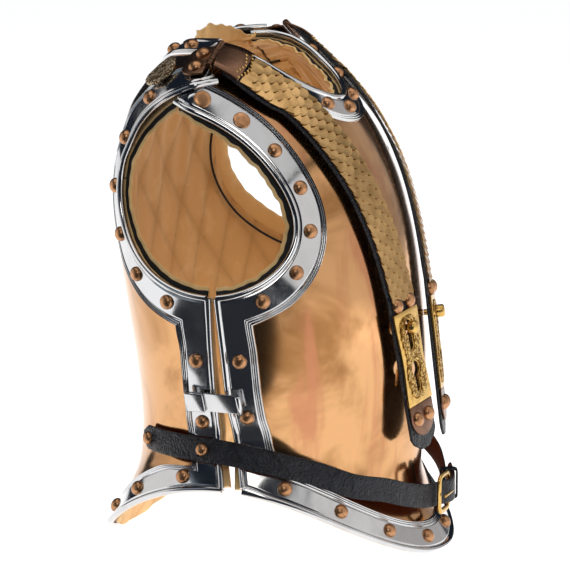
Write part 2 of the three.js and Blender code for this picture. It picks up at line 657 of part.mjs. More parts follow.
// ---- Shoulder straps --------------------------------------------------------------------
const BACK_STACK = SHOULDER_LAP + BORDER_TOP; // top of the back plate's border at the shoulder
for (const side of SIDES) {
  const s = side.sign;
  const over = STRAP_PATH.map((p) => onTorso(p, s));
  const top = onTorso(STRAP_HANG.top, s);
  const tip = onTorso(STRAP_HANG.tip, s);
  const hangUp = top.normal.clone().add(tip.normal).normalize();
  const curved = frames([...over, { point: top.point, normal: hangUp }], 24);
  const fall = tip.point.clone().sub(top.point);
  const hangLength = fall.length();
  const hang = makeFrame(top.point, fall.normalize(), hangUp);
  const hangAt = (d) => ({ ...hang, point: hang.point.clone().addScaledVector(hang.along, d) });

  // keyhole slots, wide end up
  const keyhole = (at) => {
    const { radius, slot, length } = KEYHOLE;
    const open = Math.asin(slot / 2 / radius);
    const arc = Array.from({ length: 13 }, (_, k) => {
      const a = Math.PI / 2 + open + (k * (2 * Math.PI - 2 * open)) / 12;
      return [radius * Math.cos(a), at + radius * Math.sin(a)];
    });
    return [...arc, [slot / 2, at + length], [-slot / 2, at + length]];
  };
  const slots = [keyhole(KEYHOLE.firstAt), keyhole(KEYHOLE.secondAt)];

  const leatherTop = STRAP_THICKNESS;
  const plateBase = leatherTop + FIT_GAP;
  const slotCutter = slots
    .map((hole) => placeOn(hang, flatPlate(hole, [], 30, -15)))
    .reduce((a, b) => a.add(b));
  const leather = ribbon([...curved, hangAt(hangLength)], STRAP_WIDTH, 0, leatherTop);
  const tipTrim = placeOn(
    hangAt(hangLength),
    flatPlate(TIP_CUT, [], 30, -15)
  );
  add(`strap_leather_${side.name}`, leather.subtract(slotCutter).subtract(tipTrim), 'blackLeather');

  // scales: one ribbon stepped like overlapping scales
  const scaleLine = [...over, { point: top.point, normal: hangUp }].slice(1);
  const scaleFrames = frames(scaleLine, 2 * SCALE_COUNT).slice(3);
  const scaleTop = (k) => plateBase + (k % 2 ? SCALE_HIGH : SCALE_LOW);
  add(`strap_scales_${side.name}`, ribbon(scaleFrames, SCALE_WIDTH, plateBase, scaleTop), 'brass');

  // root plate: the hinged leaf that grips the leather's upper end
  const rootPlate = ribbon(curved.slice(0, 3), STRAP_WIDTH - 2, plateBase, plateBase + ROOT_THICKNESS);
  add(`strap_root_plate_${side.name}`, rootPlate, 'bronze');

  // slotted plate, its button and the end plate, all on the hanging part
  const { from, length, width, thickness, waist } = SLOTTED_PLATE;
  const half = width / 2;
  const platform = [
    [-half, from],
    [half, from],
    [waist / 2, from + length * 0.5],
    [half, from + length],
    [-half, from + length],
    [-waist / 2, from + length * 0.5],
  ];
  const slotted = placeOn(hang, flatPlate(platform, [], thickness, plateBase)).subtract(slotCutter);
  add(`slotted_plate_${side.name}`, slotted, 'gilt');
  const end = END_PLATE;
  const endOutline = [
    [-end.width / 2, end.from],
    [end.width / 2, end.from],
    ...Array.from({ length: 9 }, (_, k) => {
      const a = (k * Math.PI) / 8;
      return [(end.width / 2) * Math.cos(a), end.from + end.length * (0.35 + 0.65 * Math.sin(a))];
    }),
  ];
  add(`strap_end_plate_${side.name}`, placeOn(hang, flatPlate(endOutline, [], end.thickness, plateBase)), 'copper');

  const buttonFrame = hangAt(KEYHOLE.firstAt);
  const throughPlate = plateBase + thickness + FIT_GAP;
  const seat = new THREE.Raycaster(
    buttonFrame.point.clone().addScaledVector(buttonFrame.up, 40),
    buttonFrame.up.clone().negate()
  ).intersectObject(target)[0];
  const foot = 0.5 - (seat.distance - 40);
  const { neckRadius, headRadius, headHeight } = BUTTON;
  const button = turned([
    [0, foot],
    [neckRadius, foot],
    [neckRadius, throughPlate],
    [headRadius, throughPlate],
    [headRadius, throughPlate + headHeight - 1.5],
    [headRadius - 1.5, throughPlate + headHeight],
    [0, throughPlate + headHeight],
  ]);
  add(`strap_button_${side.name}`, placeOn(buttonFrame, button), 'gilt');

  // studs: two where the scales end, two on the end plate, two on the anchor plate
  const studOn = (name, frame, base) => add(`${name}_${side.name}`, placeOn(frame, dome(STUD, base)), 'copper');
  const shifted = (f, by) => ({ ...f, point: f.point.clone().addScaledVector(f.across, by) });
  const pairOn = (name, { at, apart }, base) => {
    studOn(`${name}_inner`, shifted(hangAt(at), s * apart), base);
    studOn(`${name}_outer`, shifted(hangAt(at), -s * apart), base);
  };
  pairOn('strap_upper_stud', UPPER_STUDS, plateBase);
  pairOn('strap_lower_stud', LOWER_STUDS, plateBase + end.thickness + FIT_GAP);

  // anchor plate, ornament and hinge on the back plate's shoulder
  const anchor = onTorso(ANCHOR, s);
  const anchorFrame = uprightFrame(anchor, new THREE.Vector3(0, 1, 0));
  const anchorBase = BACK_STACK + FIT_GAP;
  const anchorOutline = [[-23, -12], [23, -12], [23, 9], [18, 13], [-18, 13], [-23, 9]];
  const anchorPlate = flatPlate(anchorOutline, [], ANCHOR.thickness, anchorBase);
  add(`strap_anchor_plate_${side.name}`, placeOn(anchorFrame, anchorPlate), 'bronze');
  const onAnchor = anchorBase + ANCHOR.thickness + FIT_GAP;
  const moved = (inward, dy) => {
    const across = -s * Math.sign(anchorFrame.across.x) * inward;
    const point = anchorFrame.point.clone().addScaledVector(anchorFrame.across, across);
    return { ...anchorFrame, point: point.addScaledVector(anchorFrame.along, dy) };
  };
  studOn('strap_anchor_stud_inner', moved(ANCHOR.studApart, ANCHOR.studAt), onAnchor);
  studOn('strap_anchor_stud_outer', moved(-ANCHOR.studApart, ANCHOR.studAt), onAnchor);

  const badgeFrame = uprightFrame(onTorso(ORNAMENT, s), new THREE.Vector3(0, 1, 0));
  const oval = Array.from({ length: 16 }, (_, k) => {
    const a = (2 * Math.PI * k) / 16;
    return [ORNAMENT.radius * Math.cos(a), ORNAMENT.radius * Math.sin(a)];
  });
  const badge = flatPlate(oval, [], ORNAMENT.thickness, anchorBase + ORNAMENT.lift);
  add(`strap_ornament_${side.name}`, placeOn(badgeFrame, badge), 'gilt');

  const barrel = new THREE.CylinderGeometry(HINGE.radius, HINGE.radius, HINGE.length, 14).rotateZ(Math.PI / 2);
  const raised = barrel.translate(0, 0, anchorBase + HINGE.radius + 0.2);
  add(`strap_hinge_${side.name}`, placeOn(moved(HINGE.inward, HINGE.at), raised), 'bronze');
}

// ---- Waist strap ------------------------------------------------------------------------
for (const side of SIDES) {
  const s = side.sign;
  const standing = BELT_FRONT[side.name].map(({ x, y, z, turn }) => ({
    point: new THREE.Vector3(s * x, y, z),
    normal: new THREE.Vector3(s * turn, -1, 0).normalize(),
  }));
  const places = [...BELT_PATH.map((p) => onTorso(p, s)), ...standing];
  const stations = frames(places, side.name === 'right' ? 46 : 34);
  add(`waist_strap_${side.name}`, ribbon(stations, BELT_WIDTH, 0, BELT_THICKNESS), 'blackLeather');
  const studAt = (name, y, z) => {
    const frame = uprightFrame(onTorso({ y, z }, s), new THREE.Vector3(0, 0, 1));
    add(`${name}_${side.name}`, placeOn(frame, dome(BELT_STUD, BELT_STUD.base)), 'copper');
  };
  studAt('waist_strap_back_stud', 82, 108.3);
  studAt('waist_strap_side_stud', 22, 107);
}

const UP = new THREE.Vector3(0, 0, 1);
const buckleFrame = makeFrame(new THREE.Vector3(0, BUCKLE.y, BUCKLE.z), UP, new THREE.Vector3(0, -1, 0));
const { halfLength, halfHeight, wire } = BUCKLE;
const loop = (grow) => {
  const [a, b, c] = [halfLength + grow, halfHeight + grow, 5 + grow];
  return [[-a + c, -b], [a - c, -b], [a, -b + c], [a, b - c], [a - c, b], [-a + c, b], [-a, b - c], [-a, -b + c]];
};
add('waist_buckle', placeOn(buckleFrame, flatPlate(loop(wire), [loop(-wire)], 2 * wire, -wire)), 'gilt');
const prong = new THREE.CylinderGeometry(PRONG.radius, PRONG.radius, PRONG.length, 8)
  .rotateZ(Math.PI / 2)
  .translate(-3.5, 0, BUCKLE.y - PRONG.y);
add('buckle_prong', placeOn(buckleFrame, prong), 'gilt');
const keeperOut = new THREE.Vector3(KEEPER.turn, -1, 0).normalize();
const keeperFrame = makeFrame(new THREE.Vector3(KEEPER.x, KEEPER.y, KEEPER.z), UP, keeperOut);
const block = (width, height, depth) => {
  const [w, h] = [width / 2, height / 2];
  return flatPlate([[-w, -h], [w, -h], [w, h], [-w, h]], [], depth, -depth / 2);
};
const [insideHeight, insideDepth] = KEEPER.inside;
const keeperBlock = block(KEEPER.width, insideHeight + 2 * KEEPER.wall, insideDepth + 2 * KEEPER.wall);
const keeperInside = block(2 * KEEPER.width, insideHeight, insideDepth);
add('buckle_keeper', placeOn(keeperFrame, keeperBlock).subtract(placeOn(keeperFrame, keeperInside)), 'blackLeather');

// The frame's origin is under the middle of the whole cuirass
const box = new THREE.Box3().setFromObject(group);
const middle = box.getCenter(new THREE.Vector3());
group.children.forEach((mesh) => mesh.geometry.translate(-middle.x, -middle.y, 0));

export default group;
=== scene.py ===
# %% [markdown]
# # A heavy cavalry officer's cuirass
# A cuirass is a steel shell for the trunk: a breastplate and a backplate that hang from the
# shoulders on two scale-covered straps and are drawn together at the waist by a belt. On this
# pattern the plates are faced with brass and edged with polished steel. The imported model gives
# the frame that every piece here sits in; these cells give each piece its true surface.

import math

import bmesh
import bpy
import numpy as np
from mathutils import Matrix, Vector
from mathutils.bvhtree import BVHTree


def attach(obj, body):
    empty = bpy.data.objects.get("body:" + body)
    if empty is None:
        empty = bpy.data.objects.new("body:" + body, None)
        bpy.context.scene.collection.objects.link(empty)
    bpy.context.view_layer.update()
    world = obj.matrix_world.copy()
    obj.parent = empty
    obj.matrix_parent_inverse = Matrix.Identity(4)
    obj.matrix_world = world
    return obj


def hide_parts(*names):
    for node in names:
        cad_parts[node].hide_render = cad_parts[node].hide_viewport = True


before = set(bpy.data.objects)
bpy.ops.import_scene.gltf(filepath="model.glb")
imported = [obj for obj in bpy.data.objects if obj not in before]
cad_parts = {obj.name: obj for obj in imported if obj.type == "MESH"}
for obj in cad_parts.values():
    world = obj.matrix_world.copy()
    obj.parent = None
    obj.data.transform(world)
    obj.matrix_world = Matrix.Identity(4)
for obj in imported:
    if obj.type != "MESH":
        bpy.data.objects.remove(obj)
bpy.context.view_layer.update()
MM = 0.001
ROOT = "root"

# %% [markdown]
# ## The torso form
# An armourer hammers both plates over one form, so one table describes them. Each row is a
# level above the rim: the half width, how far the breast and the back stand out, and two powers
# that make the section pointed in front and boxy behind. Two bends finish the form: the lower
# edge arches over the hips, and the shoulders slope away from the neck. It could be sculpted
# instead, but plates, linings, borders and straps would then each need fitting by hand; from a
# shared formula they follow one another of their own accord.

# %% The form's table and bends
TORSO_COLUMNS = ("z", "half_width", "front", "back", "front_power", "back_power")
TORSO = (
    (0, 163, -160, 157, 1.85, 2.2),
    (18, 154, -149, 148, 1.85, 2.2),
    (40, 146, -138.5, 137, 1.85, 2.2),
    (70, 143, -131, 126.5, 1.85, 2.2),
    (115, 150, -133, 123, 1.85, 2.2),
    (165, 161, -134, 125.5, 1.85, 2.2),
    (220, 171, -129, 132, 1.85, 2.2),
    (275, 175, -120.5, 139.5, 1.85, 2.2),
    (325, 174, -107, 143.5, 1.85, 2.2),
    (368, 169, -88, 139.5, 1.85, 2.2),
    (405, 161, -63, 125, 1.85, 2.2),
    (434, 151, -33, 104, 1.9, 2.15),
    (454, 142, -5, 82, 1.95, 2.05),
    (461.5, 138, 15, 57, 2, 2),
    (464, 135, 35, 35, 2, 2),
)
TOP_ROW = len(TORSO) - 1
HIP_ARCH, HIP_ARCH_POWER, HIP_ARCH_TOP = 76, 2.2, 200
SHOULDER_DROP, SHOULDER_DROP_FROM, SHOULDER_DROP_LEVELS = 0.003, 30, (330, 450)
TO_FRAME = np.array([0.0, 1.689, -1.6])  # the form's axes to the part's frame

NECK = {"y": 15, "half_x": 65, "half_y": 71}
BREAST_ARM = {"y": 55.6, "z": 339.2, "half_y": 107.8, "half_z": 87.1, "lean": 42.1}
BACK_ARM = {"y": 1.8, "z": 344.5, "half_y": 107.6, "half_z": 92.4, "lean": -4.9}
SHOULDER_LAP, SHOULDER_LAP_LEVELS = 4.9, (372, 410)


def smooth(t):
    """0 to 1 with a soft start and a soft stop."""
    c = np.clip(t, 0, 1)
    return c * c * (3 - 2 * c)


def between(value, levels):
    return smooth((value - levels[0]) / (levels[1] - levels[0]))


def column(name, rows):
    """One column of the table at fractional rows, by a shape-keeping cubic."""
    v = np.array([row[TORSO_COLUMNS.index(name)] for row in TORSO], float)
    d = np.diff(v)
    m = np.zeros_like(v)
    a, b = d[:-1], d[1:]
    same = a * b > 0
    m[1:-1] = np.where(same, 2 * a * b / np.where(same, a + b, 1), 0)
    for end, near, beyond in ((0, d[0], d[1]), (-1, d[-1], d[-2])):
        m[end] = (3 * near - beyond) / 2 if (3 * near - beyond) * near > 0 else 0
    i = np.clip(np.floor(rows).astype(int), 0, len(v) - 2)
    t = rows - i
    h = t * t * (3 - 2 * t)
    return v[i] * (1 - h) + v[i + 1] * h + m[i] * t * (1 - t) ** 2 - m[i + 1] * t * t * (1 - t)


def torso_points(rows, angles):
    """Points of the form for rows and angles (0 at the breast's middle), in millimetres."""
    rows, angles = np.broadcast_arrays(np.asarray(rows, float), np.asarray(angles, float))
    z, w = column("z", rows), column("half_width", rows)
    front, back = column("front", rows), column("back", rows)
    middle = (front + back) / 2
    c, s = np.cos(angles), np.sin(angles)
    ahead = c > 0
    power = 2 / np.where(ahead, column("front_power", rows), column("back_power", rows))
    reach = np.where(ahead, front, back) - middle
    x = w * np.sign(s) * np.abs(s) ** power
    y = middle + reach * np.abs(c) ** power
    arch = HIP_ARCH * np.abs(x / w) ** HIP_ARCH_POWER * smooth(1 - z / HIP_ARCH_TOP)
    wide = np.maximum(0, np.abs(x) - SHOULDER_DROP_FROM)
    drop = SHOULDER_DROP * wide**2 * between(z, SHOULDER_DROP_LEVELS)
    return np.stack([x, y, z + arch - drop], -1)


def unit(v):
    """Directions made one long."""
    v = np.asarray(v, float)
    return v / np.maximum(np.linalg.norm(v, axis=-1, keepdims=True), 1e-9)


print("form table", len(TORSO), "levels up to", TORSO[-1][0], "mm")

# %% [markdown]
# ## Finding places on the form
# Rivets and straps are set on the form by touch, as with calipers: from above, from in front or
# from the side. The form is sampled as a fine grid, and a search tree over its faces answers
# where a straight line meets it and which way is out. The grid's own directions are blended at
# each place, so that a strap laid on it does not rock from face to face.

# %% A grid of the form and a tree to search it
GRID_ROWS, GRID_COLUMNS = 260, 420
HIGH_ABOVE, FAR_OUT = 800, 400  # where the lines that touch the form start
grid_rows = np.linspace(0, TOP_ROW, GRID_ROWS)
grid_angles = np.linspace(0, 2 * math.pi, GRID_COLUMNS, endpoint=False)
grid = torso_points(grid_rows[:, None], grid_angles[None, :])
round_step = np.roll(grid, -1, 1) - np.roll(grid, 1, 1)
up_step = np.gradient(grid, axis=0)
grid_normals = unit(np.cross(round_step, up_step))
grid_normals[-1] = unit(grid_normals[-1] * (1, 0, 1))


def grid_quads(rows, columns, closed):
    """The four corners of every face of a grid of points; closed joins its last column to its first."""
    r, c = np.meshgrid(np.arange(rows - 1), np.arange(columns if closed else columns - 1), indexing="ij")
    n = (c + 1) % columns
    return np.stack([r * columns + c, r * columns + n, (r + 1) * columns + n, (r + 1) * columns + c], -1)


def end_caps(n, m):
    """The first and the last of n closed rings of m points, as faces."""
    return [list(range(m)), list(range((n - 1) * m, n * m))]


torso_quads = grid_quads(GRID_ROWS, GRID_COLUMNS, True).reshape(-1, 4)
flat_points, flat_normals = grid.reshape(-1, 3), grid_normals.reshape(-1, 3)
torso_tree = BVHTree.FromPolygons(flat_points.tolist(), torso_quads.tolist())


def blend_normal(face, place):
    """The way out of the form at a place on a face, blended from the face's corners."""
    corners = torso_quads[face]
    weight = 1 / (((flat_points[corners] - place) ** 2).sum(1) + 1e-6)
    return unit((flat_normals[corners] * weight[:, None]).sum(0))


def touch(x=None, y=None, z=None, side=-1):
    """The form met from above (x, y), from in front (x, z) or from a side (y, z)."""
    if z is None:
        start, way = (x, y, HIGH_ABOVE), (0, 0, -1)
    elif y is None:
        start, way = (x, -FAR_OUT, z), (0, 1, 0)
    else:
        start, way = (side * FAR_OUT, y, z), (-side, 0, 0)
    hit = torso_tree.ray_cast(Vector(start), Vector(way))
    return np.array(hit[0]), blend_normal(hit[2], np.array(hit[0]))


def snap(points):
    """Nearest places on the form and the form's direction there."""
    places, ups = [], []
    for p in points:
        place, _, face, _ = torso_tree.find_nearest(Vector(p))
        places.append(place)
        ups.append(blend_normal(face, np.array(place)))
    return np.array(places), np.array(ups)


def lap(z):
    """How far the back plate stands off the form, to lie over the breast at the shoulders."""
    return SHOULDER_LAP * between(z, SHOULDER_LAP_LEVELS)


print("form", grid.shape, "height", round(grid[..., 2].max(), 1))

# %% [markdown]
# ## Shared tools
# Meshes are made from arrays of points in millimetres and moved into the frame in one place, so
# that every finished object stays at the origin. The same step gives a piece its material and
# hides the plain CAD pieces it stands for.

# %% Making and finishing a piece
MERGE = 0.00002  # points closer than this, in metres, are one


def placed(name, data):
    """A new object in the scene that holds a mesh, a curve, a light or a camera."""
    obj = bpy.data.objects.new(name, data)
    bpy.context.scene.collection.objects.link(obj)
    return obj


def new_mesh(name, points, faces):
    """An object from points on the form, in millimetres, moved into the frame."""
    mesh = bpy.data.meshes.new(name)
    mesh.from_pydata(((np.asarray(points) + TO_FRAME) * MM).tolist(), [], [tuple(f) for f in faces])
    mesh.validate()
    mesh.shade_smooth()
    return placed(name, mesh)


def merged(obj, outwards=False):
    """Joins doubled points; on a closed piece the faces can be turned outwards too."""
    b = bmesh.new()
    b.from_mesh(obj.data)
    bmesh.ops.remove_doubles(b, verts=b.verts, dist=MERGE)
    if outwards:
        bmesh.ops.recalc_face_normals(b, faces=b.faces)
    b.to_mesh(obj.data)
    b.free()


def finish_piece(obj, material, nodes=(), recalc=True):
    """Gives a piece its material and its body, and hides the CAD nodes it stands for."""
    if recalc:
        merged(obj, outwards=True)
    for k, one in enumerate(material if isinstance(material, (list, tuple)) else [material]):
        if k < len(obj.data.materials):
            obj.data.materials[k] = one
        else:
            obj.data.materials.append(one)
    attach(obj, ROOT)
    if nodes:
        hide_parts(*nodes)
    return obj


def baked(obj):
    """The evaluated object as a plain mesh, with its modifiers taken off."""
    graph = bpy.context.evaluated_depsgraph_get()
    mesh = bpy.data.meshes.new_from_object(obj.evaluated_get(graph), depsgraph=graph)
    obj.modifiers.clear()
    old = obj.data
    obj.data = mesh
    if isinstance(old, bpy.types.Mesh):
        bpy.data.meshes.remove(old)
    return obj


def sharp_by_angle(obj, degrees=35):
    obj.data.set_sharp_from_angle(angle=math.radians(degrees))
    return obj


print("tools ready, merging points within", MERGE * 1000, "mm")

# %% [markdown]
# ## Lines, bands and flat plates
# A strap or a belt is a band carried along a line, so both need a line with a frame at every
# step: along it, across it and up off the torso. A curve object with a bevel could carry the band,
# but it twists where it likes; here the up direction is given, so the leather lies flat on the
# form. Flat fittings are cut as a filled curve with holes, which rounds their arrises at once.

# %% Lines, bands and flat plates
def run_of(points):
    """How far along a line each of its points is."""
    return np.concatenate([[0], np.cumsum(np.linalg.norm(np.diff(points, axis=0), axis=1))])


def read_at(distance, run, values):
    """A line's values at one or more distances along it."""
    return np.stack([np.interp(distance, run, values[:, i]) for i in range(3)], -1)


def spline(points, ups, count):
    """A smooth line through places, cut into even steps, with a frame at each."""
    p, u = np.asarray(points, float), np.asarray(ups, float)
    chord = np.concatenate([[0], np.cumsum(np.linalg.norm(np.diff(p, axis=0), axis=1) ** 0.5)])
    slope = np.gradient(p, chord, axis=0)
    fine = np.linspace(0, chord[-1], 40 * len(p))
    k = np.clip(np.searchsorted(chord, fine, side="right") - 1, 0, len(p) - 2)
    step = (chord[k + 1] - chord[k])[:, None]
    t = (fine[:, None] - chord[k][:, None]) / step
    h = t * t * (3 - 2 * t)
    line = p[k] * (1 - h) + p[k + 1] * h
    line += step * (slope[k] * t * (1 - t) ** 2 - slope[k + 1] * t * t * (1 - t))
    up_line = u[k] * (1 - t) + u[k + 1] * t
    run = run_of(line)
    even = np.linspace(0, run[-1], count)
    at, up = read_at(even, run, line), read_at(even, run, up_line)
    along = unit(np.gradient(at, axis=0))
    across = unit(np.cross(along, up))
    return {"at": at, "along": along, "across": across, "up": np.cross(across, along), "length": run[-1]}


def sweep(name, line, section, wide=1.0):
    """Carries a closed section, rows of (across, up) in mm, along a line and caps both ends."""
    section = np.asarray(section, float)
    n, m = len(line["at"]), len(section)
    scale = np.broadcast_to(np.asarray(wide, float), n)[:, None, None]
    aside, above = section[:, 0][None, :, None], section[:, 1][None, :, None]
    points = line["at"][:, None] + line["across"][:, None] * (aside * scale) + line["up"][:, None] * above
    faces = grid_quads(n, m, True).reshape(-1, 4).tolist() + end_caps(n, m)
    return new_mesh(name, points.reshape(-1, 3), faces)


def rounded_band(width, under, top, corner=0.7, crown=0.0, crown_steps=6):
    """Section of a strap: flat underneath, rounded edges, slightly crowned on top."""
    w = width / 2
    xs = np.linspace(-1, 1, crown_steps + 1)
    crest = [(x * (w - corner), top + crown * (1 - x * x)) for x in xs]
    return [(-w, under + corner), (-w, top - corner), *crest, (w, top - corner), (w, under + corner),
            (w - corner, under), (-w + corner, under)]


def place_frame(place, up, wanted):
    """A frame on the form whose along is as near as can be to a wanted direction."""
    up = unit(up)
    along = unit(np.asarray(wanted, float) - up * np.dot(wanted, up))
    return {"at": np.asarray(place, float), "along": along, "across": np.cross(along, up), "up": up}


def shifted(f, across=0, along=0, up=0):
    """The same frame at a place moved along its own directions."""
    return {**f, "at": f["at"] + f["across"] * across + f["along"] * along + f["up"] * up}


def on_frame(f, points):
    """Points given as (across, along, up) in a frame, put where they belong on the form."""
    p = np.asarray(points, float)
    return f["at"] + p[..., :1] * f["across"] + p[..., 1:2] * f["along"] + p[..., 2:3] * f["up"]


def plate_from_outline(name, f, outline, holes, thickness, base, bevel=0.5):
    """A flat plate with rounded arrises, cut from an outline with holes."""
    curve = bpy.data.curves.new(name, "CURVE")
    curve.dimensions, curve.fill_mode = "2D", "BOTH"
    curve.extrude, curve.bevel_depth, curve.bevel_resolution = thickness / 2 - bevel, bevel, 2
    curve.offset = -bevel
    for loop in [outline, *holes]:
        loop_spline = curve.splines.new("POLY")
        loop_spline.points.add(len(loop) - 1)
        for point, (x, y) in zip(loop_spline.points, loop):
            point.co = (x, y, 0, 1)
        loop_spline.use_cyclic_u = True
    holder = placed(name + "_outline", curve)
    graph = bpy.context.evaluated_depsgraph_get()
    mesh = bpy.data.meshes.new_from_object(holder.evaluated_get(graph), depsgraph=graph)
    local = np.array([v.co for v in mesh.vertices]) + (0, 0, base + thickness / 2)
    faces = [tuple(p.vertices) for p in mesh.polygons]
    bpy.data.objects.remove(holder)
    bpy.data.meshes.remove(mesh)
    return sharp_by_angle(new_mesh(name, on_frame(f, local), faces))


def turned(name, f, profile, count=24):
    """A turned piece: rows of (radius, height) spun about the frame's up direction."""
    profile = np.asarray(profile, float)
    a = np.linspace(0, 2 * math.pi, count, endpoint=False)
    ring = np.stack([np.cos(a), np.sin(a)], -1)
    heights = np.broadcast_to(profile[:, None, 1:], (len(profile), count, 1))
    local = np.concatenate([profile[:, None, :1] * ring[None], heights], -1)
    faces = grid_quads(len(profile), count, True).reshape(-1, 4).tolist() + end_caps(len(profile), count)
    return new_mesh(name, on_frame(f, local.reshape(-1, 3)), faces)


print("lines, bands, plates and turned pieces can be made")

# %% [markdown]
# ## Shader tools
# A shader can be wired by hand in the editor or written down. Written down it is long-winded, so
# a small class gives each node a short name. Each kind of wear is then one node group with named
# inputs, and a material only says which colours and sizes it wants.

# %% Short names for nodes
class Tree:
    """Short names for building a node tree."""

    def __init__(self, tree):
        self.tree = tree

    def add(self, kind, inputs=None, **settings):
        node = self.tree.nodes.new(kind)
        for key, value in settings.items():
            setattr(node, key, value)
        for key, value in (inputs or {}).items():
            self.feed(node.inputs[key], value)
        return node

    def feed(self, socket, value):
        if isinstance(value, bpy.types.NodeSocket):
            self.tree.links.new(value, socket)
        else:
            socket.default_value = value

    def math(self, operation, a, b):
        node = self.add("ShaderNodeMath", operation=operation)
        self.feed(node.inputs[0], a)
        self.feed(node.inputs[1], b)
        return node.outputs[0]

    def mix(self, factor, a, b):
        node = self.add("ShaderNodeMix", data_type="RGBA")
        self.feed(node.inputs["Factor"], factor)
        self.feed(node.inputs[6], a)
        self.feed(node.inputs[7], b)
        return node.outputs[2]

    def between(self, value, low, high, out_low=0.0, out_high=1.0):
        node = self.add("ShaderNodeMapRange", interpolation_type="SMOOTHSTEP")
        for key, number in (("Value", value), ("From Min", low), ("From Max", high),
                            ("To Min", out_low), ("To Max", out_high)):
            self.feed(node.inputs[key], number)
        return node.outputs["Result"]

    def noise(self, vector, scale, detail=3.0, rough=0.5, warp=0.0):
        node = self.add("ShaderNodeTexNoise", {"Vector": vector, "Scale": scale, "Detail": detail,
                                               "Roughness": rough, "Distortion": warp})
        return node.outputs["Fac"]

    def cells(self, vector, scale, feature="F1"):
        node = self.add("ShaderNodeTexVoronoi", {"Vector": vector, "Scale": scale}, feature=feature)
        return node.outputs["Distance"]

    def stretch(self, vector, scale, turn=(0, 0, 0)):
        return self.add("ShaderNodeMapping", {"Vector": vector, "Scale": scale, "Rotation": turn}).outputs[0]

    def bump(self, height, strength, distance):
        return self.add("ShaderNodeBump", {"Height": height, "Strength": strength,
                                           "Distance": distance}).outputs["Normal"]


def new_group(name, inputs, outputs):
    tree = bpy.data.node_groups.new(name, "ShaderNodeTree")
    for label, kind, value in inputs:
        tree.interface.new_socket(label, in_out="INPUT", socket_type=kind).default_value = value
    for label, kind in outputs:
        tree.interface.new_socket(label, in_out="OUTPUT", socket_type=kind)
    t = Tree(tree)
    return tree, t, t.add("NodeGroupInput").outputs, t.add("NodeGroupOutput").inputs


COLOUR, FLOAT, VECTOR = "NodeSocketColor", "NodeSocketFloat", "NodeSocketVector"
SURFACE_OUTPUTS = (("Base Color", COLOUR), ("Roughness", FLOAT), ("Normal", VECTOR))


def rgb(r, g, b):
    return (r, g, b, 1.0)


print("node groups put out", [label for label, _ in SURFACE_OUTPUTS])

# %% [markdown]
# ## Worn metal
# Brass darkens in clouds, shows coppery streaks where the polish has bitten, and keeps the
# faint unevenness of the hammer however well it is planished. Painting all this on would need an
# image for each plate. Noise read from the object's own coordinates does it for any metal at any
# size, and the same group serves brass, steel, copper, bronze and gilt.

# %% Worn metal
WORN, t, i, o = new_group(
    "worn_metal",
    (("Metal", COLOUR, rgb(0.7, 0.5, 0.3)), ("Tarnish", COLOUR, rgb(0.3, 0.2, 0.1)),
     ("Streak", COLOUR, rgb(0.7, 0.35, 0.2)), ("Tarnish Amount", FLOAT, 0.4), ("Streak Amount", FLOAT, 0.4),
     ("Gloss", FLOAT, 0.18), ("Patch Size", FLOAT, 9.0), ("Dents", FLOAT, 0.15)),
    SURFACE_OUTPUTS,
)
where = t.add("ShaderNodeTexCoord").outputs["Object"]
patches = t.noise(where, i["Patch Size"], 4, 0.55, 0.6)
cloud = t.between(patches, 0.42, 0.72)
slanted = t.stretch(where, (22, 22, 4.5), (0.55, 0.1, 0.2))
streaks = t.between(t.noise(slanted, 1.0, 4, 0.6, 0.7), 0.52, 0.70)
fine_marks = t.noise(t.stretch(where, (900, 900, 120), (0.9, 0.3, 0)), 1.0, 2, 0.6)
colour = t.mix(t.math("MULTIPLY", cloud, i["Tarnish Amount"]), i["Metal"], i["Tarnish"])
colour = t.mix(t.math("MULTIPLY", streaks, i["Streak Amount"]), colour, i["Streak"])
t.feed(o["Base Color"], colour)
dull = t.math("ADD", t.math("MULTIPLY", cloud, 0.10), t.math("MULTIPLY", fine_marks, 0.06))
t.feed(o["Roughness"], t.math("ADD", i["Gloss"], dull))
dents = t.noise(where, 14, 2, 0.4)
normal = t.bump(t.math("ADD", dents, t.math("MULTIPLY", fine_marks, 0.004)), i["Dents"], 0.004)
t.feed(o["Normal"], normal)

print("worn metal inputs", [s.name for s in WORN.interface.items_tree if s.in_out == "INPUT"])

# %% [markdown]
# ## Grained hide
# Belt leather has pores and fine creases and goes paler where it is rubbed. Cells make the
# pores and a stretched noise the creases; both go into the height of a bump, which is enough
# because the grain is far finer than the leather is thick. Lining leather is the same group
# with a larger, softer rub and an extra input that paints shade into the stitched hollows.

# %% Grained hide
HIDE, t, i, o = new_group(
    "grained_hide",
    (("Hide", COLOUR, rgb(0.02, 0.02, 0.03)), ("Rubbed", COLOUR, rgb(0.1, 0.09, 0.08)),
     ("Rubbed Amount", FLOAT, 0.4), ("Gloss", FLOAT, 0.42), ("Grain Size", FLOAT, 700.0),
     ("Grain Depth", FLOAT, 0.3), ("Crease", FLOAT, 0.5), ("Seam", FLOAT, 0.0),
     ("Painted Shade Colour", COLOUR, rgb(0.1, 0.05, 0.02)), ("Rub Size", FLOAT, 38.0)),
    SURFACE_OUTPUTS,
)
where = t.add("ShaderNodeTexCoord").outputs["Object"]
pores = t.cells(where, i["Grain Size"])
creases = t.noise(t.stretch(where, (120, 60, 60)), 1.0, 5, 0.65, 1.2)
rubbed = t.between(t.noise(where, i["Rub Size"], 5, 0.6, 0.4), 0.48, 0.72)
hide = t.mix(t.math("MULTIPLY", rubbed, i["Rubbed Amount"]), i["Hide"], i["Rubbed"])
# painted shade: an attribute fed in here darkens the colour towards a shade colour in the quilting's hollows
t.feed(o["Base Color"], t.mix(i["Seam"], hide, i["Painted Shade Colour"]))
